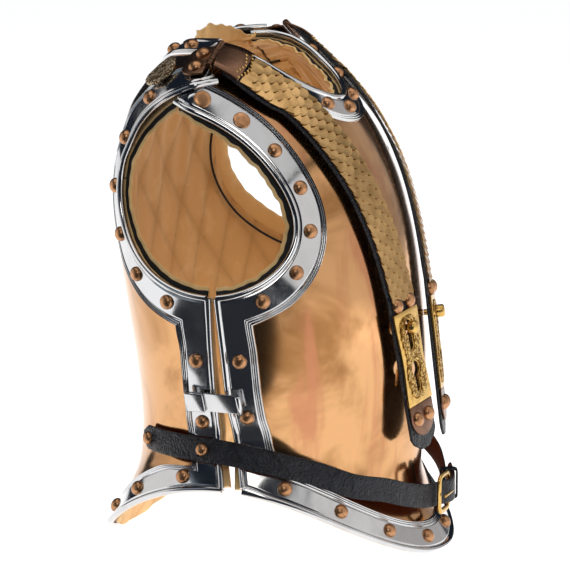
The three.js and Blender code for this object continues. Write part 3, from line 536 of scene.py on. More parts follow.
t.feed(o["Roughness"], t.math("ADD", i["Gloss"], t.math("MULTIPLY", creases, 0.2)))
relief = t.math("ADD", t.math("MULTIPLY", pores, 0.5), t.math("MULTIPLY", creases, i["Crease"]))
t.feed(o["Normal"], t.bump(relief, i["Grain Depth"], 0.0008))

print("grained hide inputs", [s.name for s in HIDE.interface.items_tree if s.in_out == "INPUT"])

# %% [markdown]
# ## Chased relief
# The slotted plates and the shoulder ornaments carry cast and chased leaf work, bright on its
# crests over a dark punched ground. Modelled leaves would be lost at this size, so cells whose
# places are pushed about by a noise stand for the leaves, and fine dots for the punching.

# %% Chased relief
CHASED, t, i, o = new_group(
    "chased_relief",
    (("Crest", COLOUR, rgb(0.85, 0.6, 0.2)), ("Ground", COLOUR, rgb(0.3, 0.18, 0.05)),
     ("Leaf Size", FLOAT, 170.0), ("Depth", FLOAT, 0.9), ("Gloss", FLOAT, 0.28)),
    SURFACE_OUTPUTS,
)
where = t.add("ShaderNodeTexCoord").outputs["Object"]
curl = t.add("ShaderNodeVectorMath", operation="ADD")
warp = t.add("ShaderNodeTexNoise", {"Vector": where, "Scale": 95.0, "Detail": 1.0})
t.feed(curl.inputs[0], where)
scaled = t.add("ShaderNodeVectorMath", {0: warp.outputs["Color"], 3: 0.011}, operation="SCALE")
t.feed(curl.inputs[1], scaled.outputs[0])
leaves = t.cells(curl.outputs[0], i["Leaf Size"], "SMOOTH_F1")
dots = t.cells(where, 1300.0)
height = t.math("ADD", t.between(leaves, 0.15, 0.6, 1.0, 0.0), t.math("MULTIPLY", dots, 0.25))
t.feed(o["Base Color"], t.mix(t.between(height, 0.2, 0.75), i["Ground"], i["Crest"]))
t.feed(o["Roughness"], t.between(height, 0.1, 0.9, 0.55, i["Gloss"]))
t.feed(o["Normal"], t.bump(height, i["Depth"], 0.0012))

print("chased relief inputs", [s.name for s in CHASED.interface.items_tree if s.in_out == "INPUT"])

# %% [markdown]
# ## The finishes
# Each material places one group and gives it its own colours. Metals are fully metallic and
# differ in colour and gloss; the shader that makes the surface stays in the material itself,
# because the export reads it there.

# %% The finishes
def material(name, group, values, metallic=0.0, attribute=None, **shader):
    """A material whose principled shader is fed by a group; an attribute may feed one input."""
    m = bpy.data.materials.new(name)
    m.use_nodes = True
    m.node_tree.nodes.clear()
    t = Tree(m.node_tree)
    g = t.add("ShaderNodeGroup", node_tree=group)
    for key, value in values.items():
        g.inputs[key].default_value = value
    if attribute:
        reader = t.add("ShaderNodeAttribute", attribute_name=attribute[1])
        t.feed(g.inputs[attribute[0]], reader.outputs["Fac"])
    further = {key.replace("_", " "): value for key, value in shader.items()}
    bsdf = t.add("ShaderNodeBsdfPrincipled", {"Metallic": metallic, **further})
    for key in ("Base Color", "Roughness", "Normal"):
        t.feed(bsdf.inputs[key], g.outputs[key])
    out = t.add("ShaderNodeOutputMaterial")
    t.feed(out.inputs["Surface"], bsdf.outputs[0])
    return m


BRASS = material("plate_brass", WORN, {
    "Metal": rgb(0.61, 0.335, 0.155), "Tarnish": rgb(0.30, 0.14, 0.05), "Streak": rgb(0.46, 0.19, 0.10),
    "Tarnish Amount": 1.0, "Streak Amount": 0.8, "Gloss": 0.10, "Patch Size": 12.0, "Dents": 0.16}, 1.0)
STEEL = material("border_steel", WORN, {
    "Metal": rgb(0.58, 0.585, 0.60), "Tarnish": rgb(0.42, 0.41, 0.40), "Streak": rgb(0.48, 0.46, 0.43),
    "Tarnish Amount": 0.3, "Streak Amount": 0.2, "Gloss": 0.08, "Patch Size": 30.0, "Dents": 0.05}, 1.0)
SCALE_BRASS = material("scale_brass", WORN, {
    "Metal": rgb(0.56, 0.35, 0.15), "Tarnish": rgb(0.26, 0.15, 0.05), "Streak": rgb(0.42, 0.24, 0.09),
    "Tarnish Amount": 0.6, "Streak Amount": 0.4, "Gloss": 0.24, "Patch Size": 70.0, "Dents": 0.1}, 1.0)
COPPER = material("stud_copper", WORN, {
    "Metal": rgb(0.50, 0.26, 0.13), "Tarnish": rgb(0.26, 0.12, 0.055), "Streak": rgb(0.40, 0.21, 0.10),
    "Tarnish Amount": 0.6, "Streak Amount": 0.3, "Gloss": 0.30, "Patch Size": 160.0, "Dents": 0.03}, 1.0)
BRONZE = material("dark_bronze", WORN, {
    "Metal": rgb(0.20, 0.105, 0.065), "Tarnish": rgb(0.07, 0.035, 0.022), "Streak": rgb(0.34, 0.19, 0.10),
    "Tarnish Amount": 0.7, "Streak Amount": 0.35, "Gloss": 0.24, "Patch Size": 60.0, "Dents": 0.1}, 1.0)
GILT = material("gilt_brass", WORN, {
    "Metal": rgb(0.66, 0.42, 0.13), "Tarnish": rgb(0.36, 0.20, 0.05), "Streak": rgb(0.74, 0.52, 0.22),
    "Tarnish Amount": 0.5, "Streak Amount": 0.3, "Gloss": 0.2, "Patch Size": 120.0, "Dents": 0.06}, 1.0)
CHASED_GILT = material("chased_gilt", CHASED, {
    "Crest": rgb(0.70, 0.46, 0.14), "Ground": rgb(0.24, 0.12, 0.025), "Leaf Size": 480.0,
    "Depth": 0.9, "Gloss": 0.26}, 1.0)
CHASED_SILVER = material("chased_silvered", CHASED, {
    "Crest": rgb(0.54, 0.43, 0.29), "Ground": rgb(0.14, 0.09, 0.05), "Leaf Size": 320.0,
    "Depth": 0.9, "Gloss": 0.30}, 1.0)
BLACK_HIDE = material("strap_leather", HIDE, {
    "Hide": rgb(0.003, 0.004, 0.009), "Rubbed": rgb(0.018, 0.021, 0.034), "Rubbed Amount": 0.7,
    "Rub Size": 160.0, "Gloss": 0.26, "Grain Size": 480.0, "Grain Depth": 2.4, "Crease": 2.2},
    Specular_IOR_Level=0.4)
RED_HIDE = material("strap_flesh_side", HIDE, {
    "Hide": rgb(0.16, 0.035, 0.012), "Rubbed": rgb(0.26, 0.09, 0.035), "Rubbed Amount": 0.6,
    "Gloss": 0.5, "Grain Size": 600.0, "Grain Depth": 0.3, "Crease": 0.5})
# the lining's attribute paints shade into the quilting's stitched hollows
LINING_HIDE = material("lining_leather", HIDE, {
    "Hide": rgb(0.80, 0.52, 0.23), "Rubbed": rgb(0.90, 0.65, 0.34), "Rubbed Amount": 0.8,
    "Gloss": 0.62, "Grain Size": 420.0, "Grain Depth": 0.4, "Crease": 0.9,
    "Painted Shade Colour": rgb(0.26, 0.12, 0.04)}, attribute=("Seam", "seam"), Sheen_Weight=0.15)
HEM_HIDE = material("lining_hem", HIDE, {
    "Hide": rgb(0.82, 0.54, 0.23), "Rubbed": rgb(0.92, 0.66, 0.34), "Rubbed Amount": 0.8,
    "Gloss": 0.6, "Grain Size": 420.0, "Grain Depth": 0.4, "Crease": 0.9})
# a near-black leather colour: it colours the hems' faces towards the plate, and the cords
NEAR_BLACK_HIDE = material("near_black_hide", HIDE, {
    "Hide": rgb(0.004, 0.004, 0.005), "Rubbed": rgb(0.012, 0.011, 0.011), "Rubbed Amount": 0.5,
    "Gloss": 0.6, "Grain Size": 700.0, "Grain Depth": 0.2, "Crease": 0.5})
BLACKED = material("blacked_iron", WORN, {
    "Metal": rgb(0.03, 0.032, 0.036), "Tarnish": rgb(0.015, 0.015, 0.016), "Streak": rgb(0.05, 0.045, 0.04),
    "Tarnish Amount": 0.6, "Streak Amount": 0.3, "Gloss": 0.4, "Patch Size": 40.0, "Dents": 0.1}, 0.6)
print("finishes", [m.name for m in bpy.data.materials])

# %% [markdown]
# ## Repeats by Geometry Nodes
# Rivets, scales and punched dots are one small piece set down many times. The piece is made
# once; a mesh of seats carries, at each point, which way is up and which way is along; and one
# geometry node tree stands a copy on every seat. Copying the piece in a loop would also work, but
# the tree keeps one piece to change, and its Realize step makes the copies real for the export.

# %% The tree that sets pieces on seats
SEATS = bpy.data.node_groups.new("set_on_seats", "GeometryNodeTree")
for label, kind in (("Seats", "NodeSocketGeometry"), ("Piece", "NodeSocketObject"),
                    ("Size", "NodeSocketFloat"), ("Finish", "NodeSocketMaterial")):
    SEATS.interface.new_socket(label, in_out="INPUT", socket_type=kind)
SEATS.interface.new_socket("Pieces", in_out="OUTPUT", socket_type="NodeSocketGeometry")
g = Tree(SEATS)
given, result = g.add("NodeGroupInput").outputs, g.add("NodeGroupOutput").inputs
up_of = g.add("GeometryNodeInputNamedAttribute", {"Name": "seat_up"}, data_type="FLOAT_VECTOR")
along_of = g.add("GeometryNodeInputNamedAttribute", {"Name": "seat_along"}, data_type="FLOAT_VECTOR")
stand = g.add("FunctionNodeAlignRotationToVector", {"Vector": up_of.outputs[0]}, axis="Z")
turn_inputs = {"Rotation": stand.outputs[0], "Vector": along_of.outputs[0]}
turn = g.add("FunctionNodeAlignRotationToVector", turn_inputs, axis="Y", pivot_axis="Z")
piece = g.add("GeometryNodeObjectInfo", {"Object": given["Piece"]})
copies = g.add("GeometryNodeInstanceOnPoints", {
    "Points": given["Seats"], "Instance": piece.outputs["Geometry"],
    "Rotation": turn.outputs[0], "Scale": given["Size"]})
real = g.add("GeometryNodeRealizeInstances", {"Geometry": copies.outputs[0]})
finish = g.add("GeometryNodeSetMaterial", {"Geometry": real.outputs[0], "Material": given["Finish"]})
g.feed(result["Pieces"], finish.outputs[0])


def set_on_seats(name, seats, piece, finish, size=1.0):
    """seats are rows of (place, up, along) on the form; the piece is made about its own origin."""
    places, ups, alongs = (np.array([s[k] for s in seats], float) for k in range(3))
    obj = new_mesh(name, places, [])
    for label, values in (("seat_up", ups), ("seat_along", alongs)):
        layer = obj.data.attributes.new(label, "FLOAT_VECTOR", "POINT")
        layer.data.foreach_set("vector", values.astype(np.float32).ravel())
    live = obj.modifiers.new("seats", "NODES")
    live.node_group = SEATS
    sockets = {s.name: s.identifier for s in SEATS.interface.items_tree if s.in_out == "INPUT"}
    live[sockets["Piece"]], live[sockets["Size"]], live[sockets["Finish"]] = piece, float(size), finish
    bpy.context.view_layer.update()
    baked(obj)
    obj.data.shade_smooth()
    print(name, "seats", len(seats), "faces", len(obj.data.polygons))
    return obj


# %% [markdown]
# ## Studs, flush rivets and dots
# The studs are domes of copper struck over a rivet, the shoulder rivets are filed flush so that
# the strap can pass over them, and the dots on the root plates are small raised beads. All are
# turned shapes of a few dozen faces, because each is set down many times.

# %% Studs, flush rivets and dots
def small_piece(name, profile, count):
    """A turned piece about its own origin, in metres, to be set on seats."""
    rows = np.asarray(profile, float) * MM
    a = np.linspace(0, 2 * math.pi, count, endpoint=False)
    points = [(r * math.cos(k), r * math.sin(k), h) for r, h in rows[:-1] for k in a] + [(0, 0, rows[-1][1])]
    n = len(rows) - 1
    faces = grid_quads(n, count, True).reshape(-1, 4).tolist()
    last = (n - 1) * count
    faces += [(last + k, last + (k + 1) % count, n * count) for k in range(count)]
    mesh = bpy.data.meshes.new(name)
    mesh.from_pydata(points, [], faces)
    mesh.shade_smooth()
    return placed(name, mesh)


def dome_profile(radius, height, steps=6):
    arc = [(radius * math.cos(a), height * math.sin(a)) for a in np.linspace(0, math.pi / 2, steps + 1)[:-1]]
    return [(radius, -1.0), (radius, -0.2), *arc, (0, height)]


DOME = small_piece("dome_stud", dome_profile(6.8, 5.2), 24)
FLUSH = small_piece("flush_rivet", [(8, -0.6), (8, 0.25), (7.3, 0.7), (4, 0.95), (0, 1.05)], 24)
BELT_DOME = small_piece("belt_stud", dome_profile(6.0, 4.6), 24)
DOT = small_piece("raised_dot", dome_profile(1.25, 1.0, 3), 10)
print("small pieces", {p.name: len(p.data.polygons) for p in (DOME, FLUSH, BELT_DOME, DOT)})

# %% [markdown]
# ## The plates' outlines
# Breast and back meet at a seam down each side and on the shoulders, and are cut out for the
# arms and the neck. The outlines could be drawn as curves on the form. Here each is a function
# that tells how far inside the outline a place lies, because the borders, the linings and the
# hems can then all ask the same question with their own margins.

# %% Outlines of the plates
PLATE_THICKNESS = 1.4
UNDER_BORDER = 4.0  # the plate stops this far inside its border's edge
BREAST_SEAM = ((-20, -24), (78, -18), (127, -4), (196, -4), (252, 1))
BACK_SEAM = ((-20, -8), (76, 0), (117, 11), (185, 8), (252, 8))
MID_ARM_LEVEL, NECK_LEVEL = 300, 330  # above these the seam is the shoulder's, and the neck counts
BREAST_TOP_END, BACK_LINING_END = 53, 56
BACK_END_AT, BACK_END = (66, 127, 220), (35, 20, -3)
NECK_MEAN, FAR_AWAY = 68, 400


def seam_y(seam, z):
    """Where a side seam runs, front to back, at a height."""
    return np.interp(z, [s[0] for s in seam], [s[1] for s in seam])


def arm_distance(opening, p):
    """How far outside an arm opening a point lies, seen from the side, in millimetres."""
    s = (p[..., 2] - opening["z"]) / opening["half_z"]
    u = (p[..., 1] - opening["y"] - opening["lean"] * s) / opening["half_y"]
    return (np.sqrt(u * u + s * s) - 1) * (opening["half_y"] + opening["half_z"]) / 2


def neck_distance(p):
    """How far outside the neck opening a point lies, seen from above."""
    u, v = p[..., 0] / NECK["half_x"], (p[..., 1] - NECK["y"]) / NECK["half_y"]
    return np.where(p[..., 2] > NECK_LEVEL, (np.sqrt(u * u + v * v) - 1) * NECK_MEAN, FAR_AWAY)


def shoulder_end(x):
    """Y of the back plate's front end on the shoulders."""
    return np.interp(np.abs(x), BACK_END_AT, BACK_END)


def breast_room(p, seam=BREAST_SEAM, top_end=BREAST_TOP_END):
    """Distance inside the breastplate's outline; negative outside it."""
    low = seam_y(seam, p[..., 2]) - p[..., 1]
    end = np.where(p[..., 2] > MID_ARM_LEVEL, top_end - p[..., 1], low)
    return np.minimum(np.minimum(end, arm_distance(BREAST_ARM, p)), neck_distance(p))


def back_room(p, seam=BACK_SEAM, lapped=True):
    """The same for the back plate, which laps over the breast on the shoulders."""
    low = p[..., 1] - seam_y(seam, p[..., 2])
    edge = shoulder_end(p[..., 0]) if lapped else BACK_LINING_END
    end = np.where(p[..., 2] > MID_ARM_LEVEL, p[..., 1] - edge, low)
    return np.minimum(np.minimum(end, arm_distance(BACK_ARM, p)), neck_distance(p))


print("outlines ready, plates stop", UNDER_BORDER, "mm inside their edges")

# %% [markdown]
# ## The two plates
# Each plate is raised from one sheet and planished smooth. Its brass facing is what shows, so it
# is a fine grid of the form, cut short under its steel border, with the metal's thickness added
# inwards and blacked on the inside. Cutting the outline with a boolean would leave long thin
# faces that spoil the reflections; here faces outside the outline are left out and the ragged rim
# that remains is drawn on to the line.

# %% Raising the plates
SNAP_REACH, SNAP_STEP = 4.5, 3.0  # rim points nearer than this to the line are drawn on to it


def open_edges(index):
    """Edges that only one face uses, in that face's direction."""
    edges = np.concatenate([index[:, [k, (k + 1) % 4]] for k in range(4)])
    _, first, counts = np.unique(np.sort(edges, 1), axis=0, return_index=True, return_counts=True)
    return edges[first[counts == 1]]


def trimmed(room, keep, first_row=0):
    """The part of the form where room > keep, its ragged rim drawn on to the line room = keep."""
    quads = torso_quads[room(flat_points[torso_quads].mean(1)) > keep]
    quads = quads[(quads // GRID_COLUMNS).min(1) >= first_row]
    used, index = np.unique(quads, return_inverse=True)
    index = index.reshape(-1, 4)
    places, ups = flat_points[used].copy(), flat_normals[used].copy()
    rim = np.unique(open_edges(index))
    rim = rim[np.abs(room(places[rim]) - keep) < SNAP_REACH]
    for _ in range(3):
        p, n = places[rim], ups[rim]
        side_way = unit(np.cross(n, (0.3, 0.5, 0.8)))
        other_way = np.cross(n, side_way)
        here = room(p) - keep
        slope = [(room(p + w) - room(p - w)) / 2 for w in (side_way, other_way)]
        steep = np.maximum(slope[0] ** 2 + slope[1] ** 2, 0.25)
        move = -(here / steep)[:, None] * (slope[0][:, None] * side_way + slope[1][:, None] * other_way)
        places[rim], ups[rim] = snap(p + np.clip(move, -SNAP_STEP, SNAP_STEP))
    return used, index, places, ups


def skin(name, room, lapped):
    """A plate: the trimmed form, lifted where it laps over the other, thickened inwards."""
    _, index, places, ups = trimmed(room, UNDER_BORDER)
    lift = lap(places[:, 2]) if lapped else np.zeros(len(places))
    obj = new_mesh(name, places + ups * lift[:, None], index.tolist())
    merged(obj)
    obj.data.materials.append(BRASS)
    obj.data.materials.append(BLACKED)
    solid = obj.modifiers.new("thickness", "SOLIDIFY")
    solid.thickness, solid.offset, solid.material_offset = PLATE_THICKNESS * MM, -1, 1
    return baked(obj)


breast = skin("breastplate_brass", breast_room, False)
finish_piece(breast, [BRASS, BLACKED], ["breastplate"], recalc=False)
back = skin("backplate_brass", back_room, True)
finish_piece(back, [BRASS, BLACKED], ["backplate"], recalc=False)
print("faces in the plates", len(breast.data.polygons), len(back.data.polygons))

# %% [markdown]
# ## The steel borders
# Each border is a strip of polished steel: a bead rolled over the plate's edge, a flat for the
# rivets, and three fine ribs along the inner side. A flat image of ribs would not catch the light
# as the real ones do, so they are in the section that is carried along the plate's edge. Two
# rows of points near each side of the flat keep it flat, so that it reflects evenly.

# %% The section of a border
RIB_PITCH, RIB_HEIGHT, RIB_COUNT = 2.1, 2.5, 3
RIB_SHOULDER = RIB_HEIGHT - 0.35
FLAT_FROM, FLAT_HEIGHT, GROOVE = 5.0, 1.9, 1.1
ARM_WIDTH, SIDE_WIDTH, NECK_WIDTH, WAIST_WIDTH = 32, 32, 28, 29
BEAD = (
    (3.0, -2.2), (1.2, -2.9), (-0.6, -2.6), (-1.9, -1.5), (-2.5, 0.1), (-2.2, 1.8), (-1.3, 3.0), (0.1, 3.6),
    (1.5, 3.4), (2.6, 2.6), (3.1, 1.8), (3.6, 1.3),
)


def border_section(width):
    """(distance in from the edge, height off the plate) round the strip, from under the bead."""
    ribs_from = width - RIB_COUNT * RIB_PITCH
    flat = [(at, FLAT_HEIGHT) for at in (FLAT_FROM, FLAT_FROM + 0.7, ribs_from - 2.0, ribs_from - 1.2)]
    section = [*BEAD, (4.4, 1.5), *flat, (ribs_from - 0.6, 1.7)]
    for k in range(RIB_COUNT):
        at = ribs_from + k * RIB_PITCH
        section += [(at, GROOVE), (at + 0.55, RIB_SHOULDER), (at + 1.0, RIB_HEIGHT), (at + 1.5, RIB_SHOULDER)]
    return section + [(width, 1.0), (width + 0.3, 0.05), (FLAT_FROM, 0.05), (3.4, 0.05)]


print("arm border section has", len(border_section(ARM_WIDTH)), "points")

# %% [markdown]
# ## Carrying a border along an edge
# Each point of the section keeps its own distance from the edge all the way round, so every
# distance is first laid out on the form as a line. Where two strips meet, their ends are drawn
# to a mitre, as the smith files them. The same function later makes the linings' hems, which
# only differ in section and in being puckered. An edge that turns towards the wrong side is put
# right by measuring on which side the plate has more room.

# %% Carrying a border along an edge
MITRE_REACH, INWARD_PROBE, PUCKER_LAG, PUCKER_SHIFT = 28, 6, 0.9, 0.37


def opening_edge(opening, start, stop, side, count=90):
    """An arc of an arm opening's edge, in degrees, touched on the form from the side."""
    a = np.radians(np.linspace(start, stop, count))
    ys = opening["y"] + opening["lean"] * np.sin(a) + opening["half_y"] * np.cos(a)
    zs = opening["z"] + opening["half_z"] * np.sin(a)
    return [touch(y=y, z=z, side=side) for y, z in zip(ys, zs)]


def mitre_cuts(ends, s, points, tangent, into):
    """How much shorter a line at distance s is at each end, to leave room for the mitre."""
    cuts = [0.0, 0.0]
    for k, mitre in enumerate(ends):
        if mitre is not None and s > 0:
            e, way = (0, 1) if k == 0 else (-1, -1)
            _, (y, z), side = mitre
            slant = touch(y=y, z=z, side=side)[0] - points[e]
            cuts[k] = s * max(0.0, np.dot(slant, tangent[e]) * way) / max(4.0, np.dot(slant, into[e]))
    return cuts


def drawn_to_mitres(ends, share, place):
    """Moves the ends of a line on to their mitres; share is its place across the strip."""
    for e, mitre in zip((0, -1), ends):
        if mitre is None:
            continue
        inner, corner, side = mitre
        y, z = np.array(inner) + (np.array(corner) - np.array(inner)) * share
        goal = touch(y=y, z=z, side=side)[0]
        near = np.linalg.norm(place - place[e], axis=1)
        place = place + (goal - place[e]) * smooth(1 - near / MITRE_REACH)[:, None]
    return place


def border(name, edge, width, room, lifted, ends=(None, None), count=150, section=None, wave=None):
    """Carries a section along an edge. An end's mitre is ((y, z) inside, (y, z) at the corner, side)."""
    points, ups = np.array([e[0] for e in edge]), np.array([e[1] for e in edge])
    run, shares = run_of(points), np.linspace(0, 1, count)
    tangent = unit(np.gradient(points, run, axis=0))
    into = unit(np.cross(ups, tangent))
    if np.mean(room(points + INWARD_PROBE * into)) < np.mean(room(points - INWARD_PROBE * into)):
        into = -into
    section = border_section(width) if section is None else section
    lines = {}
    for s in sorted({s for s, _ in section}):
        cuts = mitre_cuts(ends, s, points, tangent, into)
        at = np.linspace(cuts[0], run[-1] - cuts[1], count)
        reach = s if wave is None or s > 0 else s - PUCKER_LAG * wave(shares + PUCKER_SHIFT, s)
        way, up = unit(read_at(at, run, into)), unit(read_at(at, run, ups))
        place = read_at(at, run, points) + way * np.broadcast_to(reach, count)[:, None]
        if s > 0:
            place, up = snap(place)
            if any(mitre is not None for mitre in ends):
                place, up = snap(drawn_to_mitres(ends, s / width, place))
        lines[s] = (place, up)
    rows = []
    for s, height in section:
        place, up = lines[s]
        off = height + (lap(place[:, 2]) if lifted else 0) + (0 if wave is None else wave(shares, s))
        rows.append(place + up * np.broadcast_to(off, count)[:, None])
    points = np.stack(rows, 1)
    n, m = points.shape[:2]
    faces = grid_quads(n, m, True).reshape(-1, 4).tolist() + end_caps(n, m)
    strip = new_mesh(name, points.reshape(-1, 3), faces)
    return sharp_by_angle(strip, 50), {"lines": lines, "lifted": lifted}


def rivet_line(made_border, distance, count, start, stop):
    """Evenly spaced seats along a border, between two shares of its length."""
    lines, width = made_border["lines"], max(made_border["lines"])
    near, far = lines[FLAT_FROM][0], lines[width][0]
    place, up = snap(near + (far - near) * (distance - FLAT_FROM) / (width - FLAT_FROM))
    run = run_of(place)
    seats = []
    for share in np.linspace(start, stop, count):
        p, u = read_at(share * run[-1], run, place), unit(read_at(share * run[-1], run, up))
        off = FLAT_HEIGHT + (lap(p[2]) if made_border["lifted"] else 0)
        seats.append((p + u * off, u, (0.1, 0.2, 1.0)))
    return seats


# %% [markdown]
# ## Borders of the arm openings and the side seams
# The right and left sides are made by one loop, as the pieces were forged in pairs. Seven rivets
# hold each arm border of the breast: the first two are flush, because the strap lies over them.

# %% Arm and side borders
ARM_RIVETS_IN, NECK_RIVETS_IN, WAIST_RIVETS_IN = 15, 13, 14  # from the edge to the line of rivets
BREAST_ARM_ARC, BACK_ARM_ARC = (113, 263), (77, -88)  # degrees round the opening
# how many rivets a border has, and from which share of its length to which
BREAST_ARM_RIVETS, BACK_ARM_RIVETS = (7, 0.075, 0.905), (6, 0.20, 0.915)
BREAST_SEAM_RIVETS, BACK_SEAM_RIVETS = (2, 0.37, 0.72), (2, 0.33, 0.72)
FLUSH_RIVETS, SEAM_SOFTEN = 2, 6
SIDES = (("right", -1), ("left", 1))
domes, flush = [], []
BREAST_ARM_MITRE, BREAST_WAIST_MITRE = ((0.6, 252.3), (-30, 228)), ((-18, 78), (-44, 92))
BACK_ARM_MITRE, BACK_WAIST_MITRE = ((8.4, 252.3), (42, 224)), ((0, 76), (34, 93))


def seam_edge(seam, side, count=60):
    """A side seam's edge: its table of places with the corners softened, touched on the form."""
    zs = np.linspace(seam[1][0], seam[-1][0], count)
    table_z = [s[0] for s in seam[1:]]
    ys = np.interp(zs, table_z, [s[1] for s in seam[1:]])
    window = 2 * SEAM_SOFTEN + 1
    padded = np.pad(ys, SEAM_SOFTEN, mode="reflect", reflect_type="odd")
    soft = np.convolve(padded, np.ones(window) / window, "valid")
    return [touch(y=y, z=z, side=side) for y, z in zip(soft, zs)]


for name, side in SIDES:
    edge = opening_edge(BREAST_ARM, *BREAST_ARM_ARC, side)
    arm, info = border(f"breast_arm_border_{name}_steel", edge, ARM_WIDTH, breast_room, False,
                       (None, (*BREAST_ARM_MITRE, side)))
    finish_piece(arm, STEEL, [f"breast_arm_border_{name}"])
    seats = rivet_line(info, ARM_RIVETS_IN, *BREAST_ARM_RIVETS)
    flush += seats[:FLUSH_RIVETS]
    domes += seats[FLUSH_RIVETS:]
    edge = opening_edge(BACK_ARM, *BACK_ARM_ARC, side)
    arm, info = border(f"back_arm_border_{name}_steel", edge, ARM_WIDTH, back_room, True,
                       (None, (*BACK_ARM_MITRE, side)))
    finish_piece(arm, STEEL, [f"back_arm_border_{name}"])
    domes += rivet_line(info, ARM_RIVETS_IN, *BACK_ARM_RIVETS)
    ends = ((*BREAST_WAIST_MITRE, side), (*BREAST_ARM_MITRE, side))
    edge = seam_edge(BREAST_SEAM, side)
    seam, info = border(f"breast_side_border_{name}_steel", edge, SIDE_WIDTH, breast_room, False, ends, 90)
    finish_piece(seam, STEEL, [f"breast_side_border_{name}"])
    domes += rivet_line(info, ARM_RIVETS_IN, *BREAST_SEAM_RIVETS)
    ends = ((*BACK_WAIST_MITRE, side), (*BACK_ARM_MITRE, side))
    edge = seam_edge(BACK_SEAM, side)
    seam, info = border(f"back_side_border_{name}_steel", edge, SIDE_WIDTH, back_room, False, ends, 90)
    finish_piece(seam, STEEL, [f"back_side_border_{name}"])
    domes += rivet_line(info, ARM_RIVETS_IN, *BACK_SEAM_RIVETS)
print("rivets so far", len(domes) + len(flush))

# %% [markdown]
# ## Borders of the neck
# The neck opening is an oval seen from above, so its edge is touched on the form from above. The
# breast's border runs round the front and the back plate's ends over it on the shoulders.

# %% Neck borders
BREAST_NECK_ARC, BACK_NECK_ARC = (150.5, 389.5), (17.4, 162.6)
BREAST_NECK_RIVETS, BACK_NECK_RIVETS = (7, 0.18, 0.82), (5, 0.12, 0.88)


def neck_edge(start, stop, count=110):
    """An arc of the neck opening's edge, in degrees, touched on the form from above."""
    a = np.radians(np.linspace(start, stop, count))
    return [touch(x=NECK["half_x"] * math.cos(k), y=NECK["y"] + NECK["half_y"] * math.sin(k)) for k in a]


edge = neck_edge(*BREAST_NECK_ARC)
neck, info = border("breast_neck_border_steel", edge, NECK_WIDTH, neck_distance, False)
finish_piece(neck, STEEL, ["breast_neck_border"])
domes += rivet_line(info, NECK_RIVETS_IN, *BREAST_NECK_RIVETS)
edge = neck_edge(*BACK_NECK_ARC)
neck, info = border("back_neck_border_steel", edge, NECK_WIDTH, neck_distance, True)
finish_piece(neck, STEEL, ["back_neck_border"])
domes += rivet_line(info, NECK_RIVETS_IN, *BACK_NECK_RIVETS)
print("neck border edges have", len(edge), "points, rivets so far", len(domes) + len(flush))

# %% [markdown]
# ## Borders of the waist
# The lower rims follow the form's own lowest line from seam to seam, arched over the hips, and
# meet the side borders in mitres.

# %% Waist borders
BREAST_WAIST_RIVETS, BACK_WAIST_RIVETS = (8, 0.055, 0.955), (8, 0.05, 0.95)


def height_room(p):
    """Distance inside the lower rim, which is simply the height above it."""
    return p[..., 2]


def rim_edge(seam, front, count=180):
    """The lower rim from one side seam to the other, on the wanted half."""
    a = np.linspace(-math.pi / 2, math.pi / 2, 2000) + (0 if front else math.pi)
    line = torso_points(np.zeros_like(a), a)
    inside = (seam_y(seam, line[:, 2]) - line[:, 1]) * (1 if front else -1) > 0
    part = line[inside]
    run = run_of(part)
    return list(zip(*snap(read_at(np.linspace(0, run[-1], count), run, part))))


breast_rim = rim_edge(BREAST_SEAM, True)
rim, info = border("breast_waist_border_steel", breast_rim, WAIST_WIDTH, height_room, False,
                   ((*BREAST_WAIST_MITRE, -1), (*BREAST_WAIST_MITRE, 1)), 200)
finish_piece(rim, STEEL, ["breast_waist_border"])
domes += rivet_line(info, WAIST_RIVETS_IN, *BREAST_WAIST_RIVETS)
back_rim = rim_edge(BACK_SEAM, False)
rim, info = border("back_waist_border_steel", back_rim, WAIST_WIDTH, height_room, False,
                   ((*BACK_WAIST_MITRE, 1), (*BACK_WAIST_MITRE, -1)), 200)
finish_piece(rim, STEEL, ["back_waist_border"])
domes += rivet_line(info, WAIST_RIVETS_IN, *BACK_WAIST_RIVETS)
print("rivets in all", len(domes) + len(flush))

# %% [markdown]
# ## Copper rivets
# Every border left its list of seats; one tree now sets all the domes and another the flush
# rivets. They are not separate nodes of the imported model, so they stand for none.

# %% Copper rivets
rivets = set_on_seats("border_rivets", domes, DOME, COPPER)
finish_piece(rivets, COPPER, recalc=False)
flat_rivets = set_on_seats("shoulder_rivets", flush, FLUSH, COPPER)
finish_piece(flat_rivets, COPPER, recalc=False)

# %% [markdown]
# ## The quilted linings
# Each plate is lined with padded leather, quilted in diamonds so that the stuffing cannot sink.
# The lining is the form again, a few millimetres inside the plate; between the stitch lines it
# puffs inwards, and near the openings it is gathered into soft folds. A cloth simulation would
# find such folds by chance; a few sine waves put them where the leather is really gathered. How
# deep the stitched hollows are is written to an attribute, and the material paints shade there.

# %% Quilted linings
LINING_OUTER, LINING_INNER, QUILT_PITCH, QUILT_DEPTH = -3.8, -7.0, 52.0, 1.7
# the darkest painted shade in the quilting, on the stitch lines themselves
QUILT_SHADE_DARKNESS, GATHER_LEVELS = 0.55, (230, 400)
around = np.arange(GRID_COLUMNS) / GRID_COLUMNS
girth = np.linalg.norm(np.roll(grid, -1, 1) - grid, axis=2).sum(1)
grid_u = around[None, :] * np.median(girth)
climb = np.cumsum(np.linalg.norm(np.diff(grid, axis=0), axis=2), 0)
grid_v = np.concatenate([np.zeros((1, GRID_COLUMNS)), climb])
grid_u, grid_v = np.broadcast_to(grid_u, grid_v.shape).ravel(), grid_v.ravel()


def quilt(u, v):
    """0 on the stitch lines, 1 in the middle of a diamond."""
    a, b = (1.25 * u + 0.62 * v) / QUILT_PITCH, (1.25 * u - 0.62 * v) / QUILT_PITCH
    return (np.abs(np.sin(math.pi * a)) * np.abs(np.sin(math.pi * b))) ** 0.28


